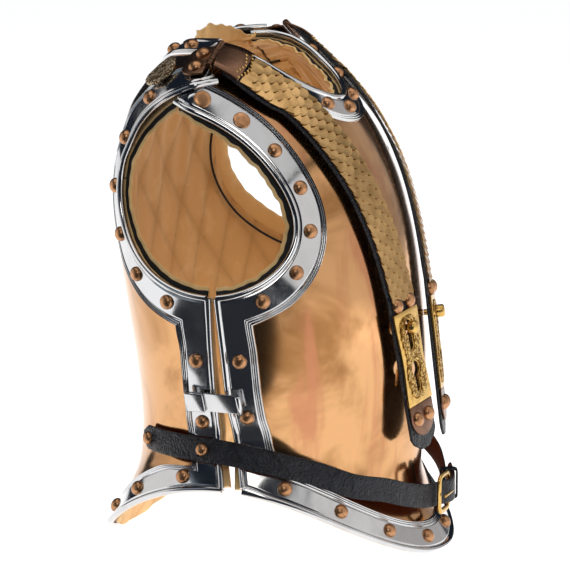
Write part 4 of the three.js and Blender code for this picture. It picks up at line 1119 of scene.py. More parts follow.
def lining(name, room):
    """The trimmed form again, closed into a padded sheet that puffs inwards."""
    used, index, places, ups = trimmed(room, LINING_KEEP, LINING_FIRST_ROW)
    puff = quilt(grid_u[used], grid_v[used])
    u, v, z = grid_u[used], grid_v[used], flat_points[used][:, 2]
    narrow_folds = 0.6 * np.sin(u / 3.4 + 1.6 * np.sin(v / 47))
    wide_folds = 0.5 * np.sin(u / 7.7 + 2.2 * np.sin(v / 41))
    sag = (0.35 + 1.5 * between(z, GATHER_LEVELS)) * (narrow_folds + wide_folds)
    outer = places + ups * LINING_OUTER
    inner = places + ups * (LINING_INNER - QUILT_DEPTH * puff - sag)[:, None]
    rim = open_edges(index)
    n = len(used)
    sides = np.stack([rim[:, 1], rim[:, 0], rim[:, 0] + n, rim[:, 1] + n], 1)
    faces = np.concatenate([index, index[:, ::-1] + n, sides])
    obj = new_mesh(name, np.concatenate([outer, inner]), faces.tolist())
    # painted shade: the inner face is darkened along the stitched hollows, most on the stitch lines
    seam = np.concatenate([np.zeros(n), QUILT_SHADE_DARKNESS * (1 - puff) ** 1.6])
    obj.data.attributes.new("seam", "FLOAT", "POINT").data.foreach_set("value", seam.astype(np.float32))
    return obj


LINING_BREAST_SEAM = ((-20, -24), (78, -10), (127, -1), (252, -1))
LINING_BACK_SEAM = ((-20, -8), (76, -8), (117, 6), (252, 6))
LINING_FIRST_ROW, LINING_KEEP, BREAST_LINING_END = 5, 0.5, 54


def breast_lining_room(p):
    """Distance inside the breast lining's outline, a little narrower than the plate's."""
    return breast_room(p, LINING_BREAST_SEAM, BREAST_LINING_END)


def back_lining_room(p):
    """The same for the back lining."""
    return back_room(p, LINING_BACK_SEAM, False)


for name, room in (("breast_lining", breast_lining_room), ("back_lining", back_lining_room)):
    piece = lining(f"{name}_leather", room)
    finish_piece(piece, LINING_HIDE, [name], recalc=False)
    print(name, "faces", len(piece.data.polygons))

# %% [markdown]
# ## Rolled hems
# At the openings the lining is turned out past the steel in a rolled hem whose faces towards
# the plate are coloured near-black, and a black cord is sewn beside it. The hem is a border with a soft
# section: it is held tight under the plate and puckers at its free lip. At the back of the neck
# the hem has worked loose and stands up above the steel.

# %% Rolled hems and cords
HEM = (
    (9.0, -4.5), (3.0, -4.7), (-1.0, -5.4), (-4.4, -6.6), (-6.6, -7.2), (-7.4, -8.0), (-6.8, -9.0),
    (-5.0, -9.9), (-1.0, -10.3), (4.0, -10.2), (9.0, -8.8),
)
HEM_BLACK_TO = 3  # the hem is near-black up to this point of the section
HEM_COUNT = 360


def hem_wave(waves, depth, phase):
    """Puckers along a hem: none where it is held under the plate, most at its free lip."""

    def wave(share, s):
        free = np.clip((4.0 - s) / 12.0, 0, 1)
        a = 2 * math.pi * waves * share + phase
        return depth * free * (np.sin(a + 1.3 * np.sin(0.37 * a)) + 0.5 * np.sin(2.3 * a))

    return wave


def standing(wave, height, centre, spread):
    """The same puckers, with the free lip standing up over part of the hem."""

    def raised(share, s):
        free = np.clip((-0.5 - s) / 5.5, 0, 1)
        from_end = smooth(np.minimum(share, 1 - share) / 0.3)
        return wave(share, s) + height * free * from_end * np.exp(-(((share - centre) / spread) ** 2))

    return raised


def hem(name, edge, room, wave, lifted=False):
    """A padded hem along an edge, black on the faces that touch the plate."""
    obj, _ = border(name, edge, 9, room, lifted, count=HEM_COUNT, section=HEM, wave=wave)
    obj.data.materials.append(HEM_HIDE)
    obj.data.materials.append(NEAR_BLACK_HIDE)
    for face in obj.data.polygons:
        if face.index < (HEM_COUNT - 1) * len(HEM) and face.index % len(HEM) < HEM_BLACK_TO:
            face.material_index = 1
    finish_piece(obj, [HEM_HIDE, NEAR_BLACK_HIDE])
    print(name, "faces", len(obj.data.polygons))


CORD_IN, CORD_UNDER, CORD_RADIUS = 17, -11, 1.2
cord_angles = np.linspace(0, 2 * math.pi, 9)[:-1]
CORD = [(CORD_IN + CORD_RADIUS * math.cos(a), CORD_UNDER + CORD_RADIUS * math.sin(a)) for a in cord_angles]
for name, side in SIDES:
    edge = opening_edge(BREAST_ARM, 113, 264, side)
    hem(f"breast_arm_hem_{name}", edge, breast_room, hem_wave(9, 0.7, side))
    edge = opening_edge(BACK_ARM, 72, -88, side)
    hem(f"back_arm_hem_{name}", edge, back_room, hem_wave(8, 0.6, 2 + side))
    edge = opening_edge(BACK_ARM, 66, -84, side)
    cord, _ = border(f"lining_cord_{name}", edge, CORD_IN, back_room, False, section=CORD)
    finish_piece(cord, NEAR_BLACK_HIDE)
hem("breast_neck_hem", neck_edge(150, 390), neck_distance, hem_wave(13, 1.2, 0.4))
hem("back_neck_hem", neck_edge(27, 153), neck_distance, standing(hem_wave(7, 1.4, 1.0), 17, 0.3, 0.3), True)

# %% [markdown]
# ## Side clips
# On each side a bracket riveted to the back plate carries a sprung tongue that reaches over the
# seam on to the breastplate's border and keeps the two edges level. The tongue's end is rolled,
# so that it can be lifted with a finger. All three parts are flat or turned, and a frame touched
# on the form's side carries them.

# %% Side clips
CLIP_Y, CLIP_Z, CLIP_HEIGHT, CLIP_BASE = 8, 157, 20, 4.6
BRACKET_FROM, BRACKET_TO, BRACKET_THICK = 9, 27, 3.8
TONGUE_FROM, TONGUE_TO, TONGUE_THICK, ROLL = -25, 8.6, 1.6, 2.3


def rounded_box(x0, x1, half, corner):
    """The outline of a box with rounded corners, from x0 to x1 and half as high each way."""
    loop = []
    for cx, cy, start in ((x1, half, 0), (x0, half, 90), (x0, -half, 180), (x1, -half, 270)):
        for k in range(5):
            a = math.radians(start + 22.5 * k)
            inset_x = corner if cx == x1 else -corner
            inset_y = corner if cy > 0 else -corner
            loop.append((cx - inset_x + corner * math.cos(a), cy - inset_y + corner * math.sin(a)))
    return loop


for name, side in SIDES:
    place, up = touch(y=CLIP_Y, z=CLIP_Z, side=side)
    f = place_frame(place, up, (0, 0, 1))
    flip = float(np.sign(f["across"][1]))
    half = CLIP_HEIGHT / 2
    outline = rounded_box(*sorted((flip * BRACKET_FROM, flip * BRACKET_TO)), half, 1.5)
    bracket = plate_from_outline(f"clip_bracket_{name}", f, outline, [], BRACKET_THICK, CLIP_BASE, 0.8)
    finish_piece(bracket, STEEL, [f"side_clip_bracket_{name}"])
    outline = rounded_box(*sorted((flip * TONGUE_FROM, flip * TONGUE_TO)), half, 0.8)
    blade = plate_from_outline(f"clip_tongue_{name}", f, outline, [], TONGUE_THICK, CLIP_BASE, 0.4)
    roll_frame = {**f, "up": f["along"], "along": f["across"], "across": f["up"]}
    roll_frame["at"] = f["at"] + f["across"] * flip * TONGUE_FROM + f["up"] * (CLIP_BASE + ROLL)
    profile = [(ROLL - 0.5, -half), (ROLL, -half + 0.5), (ROLL, half - 0.5), (ROLL - 0.5, half)]
    roll = turned(f"clip_roll_{name}", roll_frame, profile)
    finish_piece(roll, STEEL)
    finish_piece(blade, STEEL, [f"side_clip_tongue_{name}"])
print("side clips at height", CLIP_Z, "mm, reaching", BRACKET_TO - TONGUE_FROM, "mm across the seam")

# %% [markdown]
# ## Shoulder straps: the line that carries them
# A strap is black leather under overlapping brass scales. It is hinged to an anchor plate behind
# the shoulder, crosses the breast, and ends in a slotted plate that drops over a button. One
# line carries everything: it lies on the shoulder, then hangs straight from the chest's fullest
# point down to its tip. Its places are listed one by one and touched on the form.

# %% The line of each strap
STRAP_PATH = (
    (97, "y", 18, 8.2), (94.5, "y", 8, 6.6), (91, "y", -6, 4.8), (86.5, "y", -20, 4.0), (79.5, "y", -34, 4.0),
    (74, "z", 392, 4.0), (68, "z", 365, 4.0), (62, "z", 342, 4.0), (57, "z", 320, 4.0), (52, "z", 298, 4.0),
    (47, "z", 272, 4.0), (43.5, "z", 250, 4.4),
)  # how far out, which way it is touched, the other place, how far off the form
HANG_TOP, HANG_TIP = (42, 240, 5), (25.5, 98, 18.8)  # how far out, height, how far off the form
LINE_STEPS = 121
STRAP_WIDTH, STRAP_THICKNESS, SCALE_WIDTH, FIT_GAP = 44, 2.6, 38, 0.4
PLATE_BASE = STRAP_THICKNESS + FIT_GAP


def strap_line(side):
    """The curved part as a line, the hanging part as a frame, and how long the hang is."""
    places, ups = [], []
    for x, axis, value, lift in STRAP_PATH:
        place, up = touch(x=side * x, **{axis: value})
        places.append(place + up * lift)
        ups.append(up)
    top, top_up = touch(x=side * HANG_TOP[0], z=HANG_TOP[1])
    tip, tip_up = touch(x=side * HANG_TIP[0], z=HANG_TIP[1])
    top, tip = top + top_up * HANG_TOP[2], tip + tip_up * HANG_TIP[2]
    out, along = unit(top_up + tip_up), unit(tip - top)
    across = unit(np.cross(along, out))
    hang = {"at": top, "along": along, "across": across, "up": np.cross(across, along)}
    return spline([*places, top], [*ups, out], LINE_STEPS), hang, math.dist(tip, top)


def extended(line, hang, distances):
    """The curved line carried on straight down the hang."""
    more = np.asarray(distances, float)[:, None]
    result = {"at": np.concatenate([line["at"], hang["at"] + hang["along"] * more])}
    for key in ("along", "across", "up"):
        result[key] = np.concatenate([line[key], np.repeat(hang[key][None], len(more), 0)])
    return result


def at_run(line, distance):
    """The frame at a distance along a line."""
    run = run_of(line["at"])
    return place_frame(*(read_at(distance, run, line[key]) for key in ("at", "up", "along")))


def seat_on(f, **by):
    """A seat for a small piece, at a frame moved by some distances."""
    moved = shifted(f, **by)
    return moved["at"], moved["up"], moved["along"]


def joined(name, objects):
    """Several objects as one piece."""
    b = bmesh.new()
    for one in objects:
        b.from_mesh(one.data)
    mesh = bpy.data.meshes.new(name)
    b.to_mesh(mesh)
    b.free()
    for one in objects:
        bpy.data.objects.remove(one)
    return placed(name, mesh)


STRAPS = {name: strap_line(side) for name, side in SIDES}
STUDS = {name: [] for name, _ in SIDES}
for name, (curved, _, low) in STRAPS.items():
    print("strap", name, "over the shoulder", round(curved["length"]), "mm, hanging", round(low), "mm")

# %% [markdown]
# ## Anchor plate and hinge
# Behind the shoulder a lobed bronze plate is riveted through the borders with two studs. It ends
# in a hinge of five knuckles, which is a single turned profile with a groove between each pair.

# %% Anchor plates and hinges
ANCHOR_X, ANCHOR_Y, ANCHOR_THICK = 106, 40, 2.2
ANCHOR_HALF, ANCHOR_FRONT, CORNER_OUT, CORNER_WIDE, CORNER_LONG = 23, -12, 12, 11, 13
ANCHOR_STUDS_OUT, ANCHOR_STUDS_ALONG = 11, -2
HINGE_IN, HINGE_ALONG, KNUCKLE, KNUCKLES = 6, -15.3, 8, 5
KNUCKLE_RADIUS, KNUCKLE_WAIST, KNUCKLE_EDGE = 3.2, 2.6, 0.5
BORDER_TOP = SHOULDER_LAP + FLAT_HEIGHT + 0.8
ANCHOR_BASE = BORDER_TOP + FIT_GAP
HINGES = {}
for name, side in SIDES:
    place, up = touch(x=side * ANCHOR_X, y=ANCHOR_Y)
    anchor = place_frame(place, up, (0, 1, 0))
    corners = [(CORNER_WIDE * math.cos(a) + way * CORNER_OUT, CORNER_LONG * math.sin(a) + ANCHOR_STUDS_ALONG)
               for way, start in ((1, 0), (-1, 90)) for a in np.radians(np.linspace(start, start + 90, 9))]
    outline = [(-ANCHOR_HALF, ANCHOR_FRONT), (ANCHOR_HALF, ANCHOR_FRONT), *corners]
    plate = plate_from_outline(f"anchor_plate_{name}_bronze", anchor, outline, [],
                               ANCHOR_THICK, ANCHOR_BASE - 0.6, 0.6)
    finish_piece(plate, BRONZE, [f"strap_anchor_plate_{name}"])
    for way in (-1, 1):
        at = {"across": way * ANCHOR_STUDS_OUT, "along": ANCHOR_STUDS_ALONG, "up": ANCHOR_BASE + 1.6}
        STUDS[name].append(seat_on(anchor, **at))
    HINGES[name] = shifted(anchor, across=-side * HINGE_IN, along=HINGE_ALONG, up=ANCHOR_BASE + KNUCKLE_WAIST)
    pin = {**HINGES[name], "up": HINGES[name]["across"], "across": HINGES[name]["up"]}
    profile = []
    for start in np.arange(KNUCKLES) * KNUCKLE - KNUCKLES * KNUCKLE / 2:
        stop = start + KNUCKLE
        profile += [(KNUCKLE_WAIST, start), (KNUCKLE_RADIUS, start + KNUCKLE_EDGE),
                    (KNUCKLE_RADIUS, stop - KNUCKLE_EDGE), (KNUCKLE_WAIST, stop)]
    hinge = turned(f"strap_hinge_{name}_bronze", pin, profile, 20)
    finish_piece(sharp_by_angle(hinge, 40), BRONZE, [f"strap_hinge_{name}"])
print("hinge length", KNUCKLES * KNUCKLE, "mm")

# %% [markdown]
# ## The strap's leather
# The leather is swept along the curved line and goes on as a flat tongue that hangs straight.
# The tongue has to be a flat plate, because the keyholes are punched right through it; the two
# parts are then joined as one piece.

# %% Leather of the straps
KEY_RADIUS, KEY_SLOT, KEY_LENGTH, KEYS_AT = 7, 7, 21, (31, 70)
LEATHER_SWEPT_TO, TIP_TAPER, KEY_EASE = 18, 14, 0.4


def keyhole(at, grow=0.0):
    """A round hole with a slot below it, as an outline; grow makes it larger all round."""
    radius, half = KEY_RADIUS + grow, KEY_SLOT / 2 + grow
    open_by = math.asin(half / radius)
    angles = np.linspace(math.pi / 2 + open_by, 5 * math.pi / 2 - open_by, 19)
    arc = [(radius * math.cos(a), at + radius * math.sin(a)) for a in angles]
    foot_at = at + KEY_LENGTH - half + grow
    foot = [(half * math.cos(a), foot_at + half * math.sin(a)) for a in np.linspace(0, math.pi, 9)]
    return arc + foot


for name, _ in SIDES:
    curved, hang, low = STRAPS[name]
    swept = extended(curved, hang, np.linspace(1, LEATHER_SWEPT_TO, 6))
    hide = sweep(f"strap_hide_{name}", swept, rounded_band(STRAP_WIDTH, 0, STRAP_THICKNESS, 0.9))
    half, taper = STRAP_WIDTH / 2, low - TIP_TAPER
    tip = [(half, taper), (half * 0.8, low - TIP_TAPER * 0.55), (half * 0.3, low - 1)]
    strip = [(-half, LEATHER_SWEPT_TO), (half, LEATHER_SWEPT_TO), *tip, *((-x, y) for x, y in reversed(tip))]
    holes = [keyhole(at, KEY_EASE) for at in KEYS_AT]
    lower = plate_from_outline(f"strap_tongue_{name}", hang, strip, holes, STRAP_THICKNESS, 0, 0.7)
    leather = joined(f"strap_leather_{name}_hide", [hide, lower])
    finish_piece(leather, BLACK_HIDE, [f"strap_leather_{name}"])
    print(leather.name, "faces", len(leather.data.polygons))


# %% [markdown]
# ## Scales
# The scales are stamped in rows, each a crowned strip with a scalloped lower edge that lies on
# the row below it, like tiles. One row with three lobes and one shifted by half a lobe are
# enough: the seats tree sets them by turns along the strap.

# %% Rows of scales
ROW_PITCH, ROW_LENGTH, ROW_LOBES, LOBE_DEPTH, ROW_THICK = 6.7, 12.5, 3, 3.4, 0.7
ROW_COLUMNS, ROW_STEPS = 30, 5
ROW_START, ROW_SLOPE, ROW_CROWN, LOBE_CROWN = 0.5, 1.9, 0.5, 0.35
ROOT_LENGTH, SCALES_PAST_HANG, SCALES_UNDER_ROOT = 24, 9, 3


def scale_row(name, phase):
    """One row: a curved top, the same again underneath, and a rim all round but at the root."""
    half, cols = SCALE_WIDTH / 2, ROW_COLUMNS + 1
    xs = np.linspace(-half, half, cols)
    lobe = np.abs(np.sin(math.pi * (xs / SCALE_WIDTH * ROW_LOBES + phase))) ** 0.7
    points = []
    for layer in (0.0, -ROW_THICK):
        for t in np.linspace(0, 1, ROW_STEPS + 1):
            y = t * (ROW_LENGTH - LOBE_DEPTH + LOBE_DEPTH * lobe)
            crown = ROW_CROWN * (1 - (xs / half) ** 2) + LOBE_CROWN * lobe * t
            points.append(np.stack([xs, y, ROW_START + ROW_SLOPE * t + crown + layer * t**0.3], -1))
    n, last = (ROW_STEPS + 1) * cols, ROW_STEPS * cols
    top = grid_quads(ROW_STEPS + 1, cols, False).reshape(-1, 4)
    lip = [(last + k, last + k + 1, n + last + k + 1, n + last + k) for k in range(ROW_COLUMNS)]
    left = [(k * cols, (k + 1) * cols, n + (k + 1) * cols, n + k * cols) for k in range(ROW_STEPS)]
    right_rim = [tuple(i + ROW_COLUMNS for i in (a, d, c, b)) for a, b, c, d in left]
    mesh = bpy.data.meshes.new(name)
    all_faces = top.tolist() + (top[:, ::-1] + n).tolist() + lip + left + right_rim
    mesh.from_pydata((np.concatenate(points) * MM).tolist(), [], all_faces)
    mesh.shade_smooth()
    return sharp_by_angle(placed(name, mesh), 45)


ROWS = (scale_row("scale_row_even", 0.0), scale_row("scale_row_odd", 0.5))
for name, _ in SIDES:
    curved, hang, _ = STRAPS[name]
    first = ROOT_LENGTH - SCALES_UNDER_ROOT
    whole = extended(curved, hang, [4, 8, 12, 16])
    row_seats = ([], [])
    for k in range(int((curved["length"] + SCALES_PAST_HANG - first) / ROW_PITCH)):
        f = at_run(whole, first + (k + 0.5) * ROW_PITCH - ROW_LENGTH / 2)
        row_seats[k % 2].append(seat_on(f, up=PLATE_BASE))
    rows_made = [set_on_seats(f"scales_{name}_{k}", row_seats[k], ROWS[k], SCALE_BRASS) for k in (0, 1)]
    scales = joined(f"strap_scales_{name}_brass", rows_made)
    finish_piece(scales, SCALE_BRASS, [f"strap_scales_{name}"], recalc=False)

# %% [markdown]
# ## Root plates
# A bronze leaf grips the hinge and covers the top of the first scales. Two rows of small gilt
# beads, each a shallow V, mark its lower edge.

# %% Root plates and their beads
ROOT_THICK, ROOT_SIDE, ROOT_CROWN, BEAD_LIFT, BEAD_DROP = 1.4, 1, 0.8, 1.5, 0.05
BEAD_ROWS, BEAD_PITCH, BEAD_SLANT = ((4, 4), (9.5, 3)), 4.3, 1.3  # how far back, how many each side
for name, _ in SIDES:
    curved = STRAPS[name][0]
    leaf_end = int(LINE_STEPS * ROOT_LENGTH / curved["length"])
    grip = HINGES[name]["at"] - HINGES[name]["up"] * (PLATE_BASE + 0.4)
    under = slice(4, leaf_end, 3)
    root_line = spline([grip, *curved["at"][under]], [HINGES[name]["up"], *curved["up"][under]], 30)
    top = PLATE_BASE + ROOT_THICK + ROOT_CROWN
    section = rounded_band(STRAP_WIDTH - 2 * ROOT_SIDE, PLATE_BASE, top, 0.5, ROOT_CROWN)
    root = sweep(f"strap_root_{name}", root_line, section)
    finish_piece(root, BRONZE, [f"strap_root_plate_{name}"])
    beads = []
    for back_by, each_side in BEAD_ROWS:
        for k in range(-each_side, each_side + 1):
            f = at_run(curved, ROOT_LENGTH - back_by - BEAD_SLANT * abs(k))
            lift = PLATE_BASE + ROOT_THICK + BEAD_LIFT - BEAD_DROP * k * k
            beads.append(seat_on(f, across=k * BEAD_PITCH, up=lift))
    finish_piece(set_on_seats(f"root_dots_{name}", beads, DOT, GILT), GILT, recalc=False)

# %% [markdown]
# ## Slotted plates
# The gilt plate at the strap's end has two keyholes, so that the strap can be worn longer or
# shorter. Round them lies a raised field of granular work that swells at each hole. The field is
# a second thin plate let into the first; both are outlines, so the holes match exactly.

# %% Slotted plates
SLOT_FROM, SLOT_LENGTH, SLOT_HALF, SLOT_WAIST, SLOT_THICK = 15, 87, 21, 18.5, 2.4
FIELD_INSET, FIELD_HALF, FIELD_THICK, FIELD_SUNK, FIELD_EASE = 5, 11.0, 1.9, 0.6, 0.9
SWELL, SWELL_AT, SWELL_LONG, WAVE_DEPTH, WAVE_RATE, FIELD_END = 4.6, 6, 13, 0.6, 0.85, 7


def mirrored(halves, rows):
    """A closed outline from its half widths at rows along the plate."""
    return [(-h, r) for h, r in zip(halves, rows)][::-1] + [(h, r) for h, r in zip(halves, rows)]


def slotted_outline():
    """The plate's edge, drawn in a little at the waist."""
    rows = np.linspace(SLOT_FROM, SLOT_FROM + SLOT_LENGTH, 25)
    waist = np.sin(math.pi * (rows - SLOT_FROM) / SLOT_LENGTH) ** 2
    return mirrored(SLOT_HALF - (SLOT_HALF - SLOT_WAIST) * waist, rows)


def field_outline():
    """The granular field: it swells round each keyhole and its edge is gently waved."""
    rows = np.linspace(SLOT_FROM + FIELD_INSET, SLOT_FROM + SLOT_LENGTH - FIELD_INSET, 61)
    half = np.full_like(rows, FIELD_HALF)
    for at in KEYS_AT:
        half += SWELL * np.exp(-(((rows - at - SWELL_AT) / SWELL_LONG) ** 2))
    half += WAVE_DEPTH * np.sin(rows * WAVE_RATE)
    top_end = np.minimum(1, (rows - rows[0] + 2) / FIELD_END)
    low_end = np.minimum(1, (rows[-1] - rows + 2) / FIELD_END)
    return mirrored(half * (top_end * low_end) ** 0.5, rows)


for name, _ in SIDES:
    hang, holes = STRAPS[name][1], [keyhole(at) for at in KEYS_AT]
    slotted = plate_from_outline(f"slotted_plate_{name}_gilt", hang, slotted_outline(), holes,
                                 SLOT_THICK, PLATE_BASE, 0.6)
    finish_piece(slotted, GILT, [f"slotted_plate_{name}"])
    holes = [keyhole(at, FIELD_EASE) for at in KEYS_AT]
    base = PLATE_BASE + SLOT_THICK - FIELD_SUNK
    field = plate_from_outline(f"punched_field_{name}", hang, field_outline(), holes, FIELD_THICK, base, 0.55)
    finish_piece(field, CHASED_GILT)
print("keyholes at", KEYS_AT, "mm down the hang")

# %% [markdown]
# ## End plates, buttons and studs
# A round-ended plate covers the strap's tip. The button stands on the breastplate and comes up
# through the upper keyhole; how deep its foot must go is measured by a ray from the strap back
# to the form. Two studs above the slotted plate, two below and two on the anchor hold each strap.

# %% End plates, buttons and studs
END_FROM, END_LENGTH, END_HALF, END_THICK = 102.5, 30, 20, 2.0
BUTTON_NECK, BUTTON_HEAD, BUTTON_HEIGHT, BUTTON_CLEAR, BUTTON_SUNK, RAY_FROM = 2.9, 6, 9, 1.2, 0.5, 40
STUDS_AT = ((8.2, 11, PLATE_BASE + 1.2), (115.5, 10, PLATE_BASE + END_THICK))  # along, out, base
for name, _ in SIDES:
    hang = STRAPS[name][1]
    arc_from, arc_high = END_FROM + END_LENGTH * 0.35, END_LENGTH * 0.65
    arc = [(END_HALF * math.cos(a), arc_from + arc_high * math.sin(a)) for a in np.linspace(0, math.pi, 25)]
    outline = [(-END_HALF, END_FROM), (END_HALF, END_FROM), *arc]
    end_plate = plate_from_outline(f"strap_end_{name}", hang, outline, [], END_THICK, PLATE_BASE, 0.7)
    finish_piece(end_plate, BRONZE, [f"strap_end_plate_{name}"])

    f = shifted(hang, along=KEYS_AT[0])
    reach = torso_tree.ray_cast(Vector(f["at"] + f["up"] * RAY_FROM), Vector(-f["up"]))[3]
    foot, neck_top = BUTTON_SUNK - (reach - RAY_FROM), PLATE_BASE + SLOT_THICK + FIT_GAP + BUTTON_CLEAR
    top = neck_top + BUTTON_HEIGHT - BUTTON_CLEAR
    head = BUTTON_HEAD
    button = turned(f"strap_button_{name}_gilt", f, [
        (BUTTON_NECK, foot), (BUTTON_NECK, neck_top), (head - 0.5, neck_top), (head, neck_top + 0.5),
        (head, top - 2.2), (head - 0.5, top - 1.0), (head - 1.6, top - 0.3), (2.0, top)], 32)
    finish_piece(sharp_by_angle(button, 40), GILT, [f"strap_button_{name}"])

    for down, out, base in STUDS_AT:
        STUDS[name] += [seat_on(hang, across=way * out, along=down, up=base) for way in (-1, 1)]
    nodes = [f"strap_{where}_stud_{which}_{name}" for where in ("upper", "lower", "anchor")
             for which in ("inner", "outer")]
    studs = set_on_seats(f"strap_studs_{name}", STUDS[name], DOME, COPPER)
    finish_piece(studs, COPPER, nodes, recalc=False)

# %% [markdown]
# ## Shoulder ornaments
# Behind each anchor plate sits a small cast badge of leaf work. Its own design is too worn to
# read, so it is a lobed oval with general leaf relief.

# %% Shoulder ornaments
ORNAMENT_X, ORNAMENT_Y, ORNAMENT_THICK = 102, 72, 3.4
ORNAMENT_HALF, ORNAMENT_LONG, ORNAMENT_TAPER, ORNAMENT_LOBE = 15.5, 18.5, 0.28, 0.5
for name, side in SIDES:
    place, up = touch(x=side * ORNAMENT_X, y=ORNAMENT_Y)
    shape = []
    for a in np.linspace(0, 2 * math.pi, 49)[:-1]:
        narrowing = 1 - ORNAMENT_TAPER * math.sin(a)
        lobe = ORNAMENT_LOBE * math.sin(7 * a)
        shape.append((ORNAMENT_HALF * math.cos(a) * narrowing + lobe, ORNAMENT_LONG * math.sin(a) + 2))
    badge = place_frame(place, up, (0, 1, 0))
    ornament = plate_from_outline(f"ornament_{name}_relief", badge, shape, [],
                                  ORNAMENT_THICK, BORDER_TOP - 0.4, 1.2)
    finish_piece(ornament, CHASED_SILVER, [f"strap_ornament_{name}"])
print("ornaments", round(2 * ORNAMENT_HALF), "by", round(2 * ORNAMENT_LONG), "mm")

# %% [markdown]
# ## Waist strap
# Two lengths of black leather are riveted to the back plate, come round the sides and buckle in
# front, standing a little off the plate. They lie close along the sides and then bridge the
# hollow of the waist, so the first places are touched on the form and the rest are set in the
# air. The flesh side of the leather is red-brown: faces that look at the plate get that colour.

# %% The two lengths of the waist strap
BELT_WIDTH, BELT_THICKNESS, BELT_STEPS, STUD_LIFT = 22, 2.4, 150, 8.0
FLESH_SIDE = -0.6  # how far a face must turn towards the plate to show the flesh side
BELT_PATH = (
    (90, 108.5, 4.4), (68, 108, 4.4), (45, 107.5, 4.8), (22, 107, 5), (-3, 105, 5.2), (-29, 100, 5.4),
    (-52, 93.5, 5.6), (-72, 86.5, 5.4),
)
BELT_FRONT = {
    "right": (
        (108, -104, 76, 0.9), (80, -126, 67.5, 0.62), (58, -138, 59.5, 0.45), (35, -147, 53.4, 0.3),
        (18, -152.2, 51, 0.15), (11, -152.8, 50.5, 0), (3, -154.6, 50, -0.1), (-5, -158.4, 50, -0.1),
        (-12, -160.9, 50, 0), (-18, -160.7, 50.5, 0), (-30, -157.2, 52, -0.35), (-58, -144.2, 57.5, -0.45),
    ),
    "left": (
        (108, -104, 76, 0.9), (80, -126, 67.5, 0.62), (58, -138, 59.5, 0.45), (35, -147, 53.4, 0.35),
        (18.5, -151.5, 50.8, 0.2),
    ),
}
BELT_STUDS = ((82, 108.3), (22, 107))
for name, side in SIDES:
    places, ups = [], []
    for y, z, lift in BELT_PATH:
        place, up = touch(y=y, z=z, side=side)
        places.append(place + up * lift)
        ups.append(up)
    for x, y, z, turn in BELT_FRONT[name]:
        places.append((side * x, y, z))
        ups.append(unit((side * turn, -1, 0)))
    line = spline(places, ups, BELT_STEPS)
    from_end = np.minimum(np.arange(BELT_STEPS), np.arange(BELT_STEPS)[::-1])
    ends = np.minimum(1, 0.45 + from_end / 5)
    section = rounded_band(BELT_WIDTH, 0, BELT_THICKNESS, 0.7)
    belt = sweep(f"waist_strap_{name}_hide", line, section, wide=ends)
    finish_piece(belt, [BLACK_HIDE, RED_HIDE], [f"waist_strap_{name}"])
    centres = (line["at"] + TO_FRAME) * MM
    for face in belt.data.polygons:
        nearest = int(np.argmin(((centres - np.array(face.center)) ** 2).sum(1)))
        if np.dot(face.normal, line["up"][nearest]) < FLESH_SIDE:
            face.material_index = 1
    seats = []
    for y, z in BELT_STUDS:
        place, up = touch(y=y, z=z, side=side)
        seats.append((place + up * STUD_LIFT, up, (0, 0, 1)))
    studs = set_on_seats(f"belt_studs_{name}", seats, BELT_DOME, COPPER)
    nodes = [f"waist_strap_back_stud_{name}", f"waist_strap_side_stud_{name}"]
    finish_piece(studs, COPPER, nodes, recalc=False)
    print("waist strap", name, round(line["length"]), "mm long")

# %% [markdown]
# ## Buckle, prong and keeper
# The buckle is a gilt wire bent round a rounded box, the prong a turned pin, and the keeper a
# loop of the same leather. The loops are one short section carried round a closed outline.

# %% Buckle, prong and keeper
def hoop(name, f, outline, section):
    """A closed ring: the section (outwards, upwards) carried round a closed outline in the frame."""
    line = np.asarray(outline, float)
    way = unit(np.roll(line, -1, 0) - np.roll(line, 1, 0))
    out = np.stack([way[:, 1], -way[:, 0]], -1)
    ring = np.asarray(section, float)
    flat = line[:, None] + out[:, None] * ring[None, :, :1]
    local = np.concatenate([flat, np.broadcast_to(ring[None, :, 1:], (len(line), len(ring), 1))], -1)
    n, m = local.shape[:2]
    faces = grid_quads(n, m, True).reshape(-1, 4).tolist()
    faces += [((n - 1) * m + k, (n - 1) * m + (k + 1) % m, (k + 1) % m, k) for k in range(m)]
    return new_mesh(name, on_frame(f, local.reshape(-1, 3)), faces)


def round_section(wide, high, count=12):
    """An oval wire's section, from its half width and half height."""
    return [(wide * math.cos(a), high * math.sin(a)) for a in np.linspace(0, 2 * math.pi, count + 1)[:-1]]


UP, FORWARD, LEFTWARD = np.array([0, 0, 1.0]), np.array([0, -1.0, 0]), np.array([1.0, 0, 0])
BUCKLE_AT, PRONG_AT, KEEPER_AT = (0, -158.0, 50.0), (-16.5, -164.2, 50.0), (30, -153.8, 52.0)
WIRE_WIDE, WIRE_HIGH, KEEPER_WIDE, KEEPER_THICK = 2.7, 2.0, 4.5, 0.9
buckle_frame = {"at": np.array(BUCKLE_AT), "across": LEFTWARD, "along": UP, "up": FORWARD}
wire = round_section(WIRE_WIDE, WIRE_HIGH)
buckle = hoop("waist_buckle_gilt", buckle_frame, rounded_box(-14, 14, 16.5, 6), wire)
finish_piece(buckle, GILT, ["waist_buckle"])
prong_frame = {"at": np.array(PRONG_AT), "across": UP, "along": FORWARD, "up": LEFTWARD}
prong = turned("buckle_prong_gilt", prong_frame, [(0.8, 0), (1.4, 0.6), (1.3, 6), (1.1, 22), (0.6, 26)], 14)
finish_piece(prong, GILT, ["buckle_prong"])
keeper_up = unit((0.33, -1, 0))
keeper_across = np.cross(UP, keeper_up)
keeper_frame = {"at": np.array(KEEPER_AT), "across": UP, "along": keeper_up, "up": keeper_across}
w, t, r = KEEPER_WIDE, KEEPER_THICK, 0.4  # half width, half thickness, rounding of the edges
band = [(-t, r - w), (r - t, -w), (t - r, -w), (t, r - w), (t, w - r), (t - r, w), (r - t, w), (-t, w - r)]
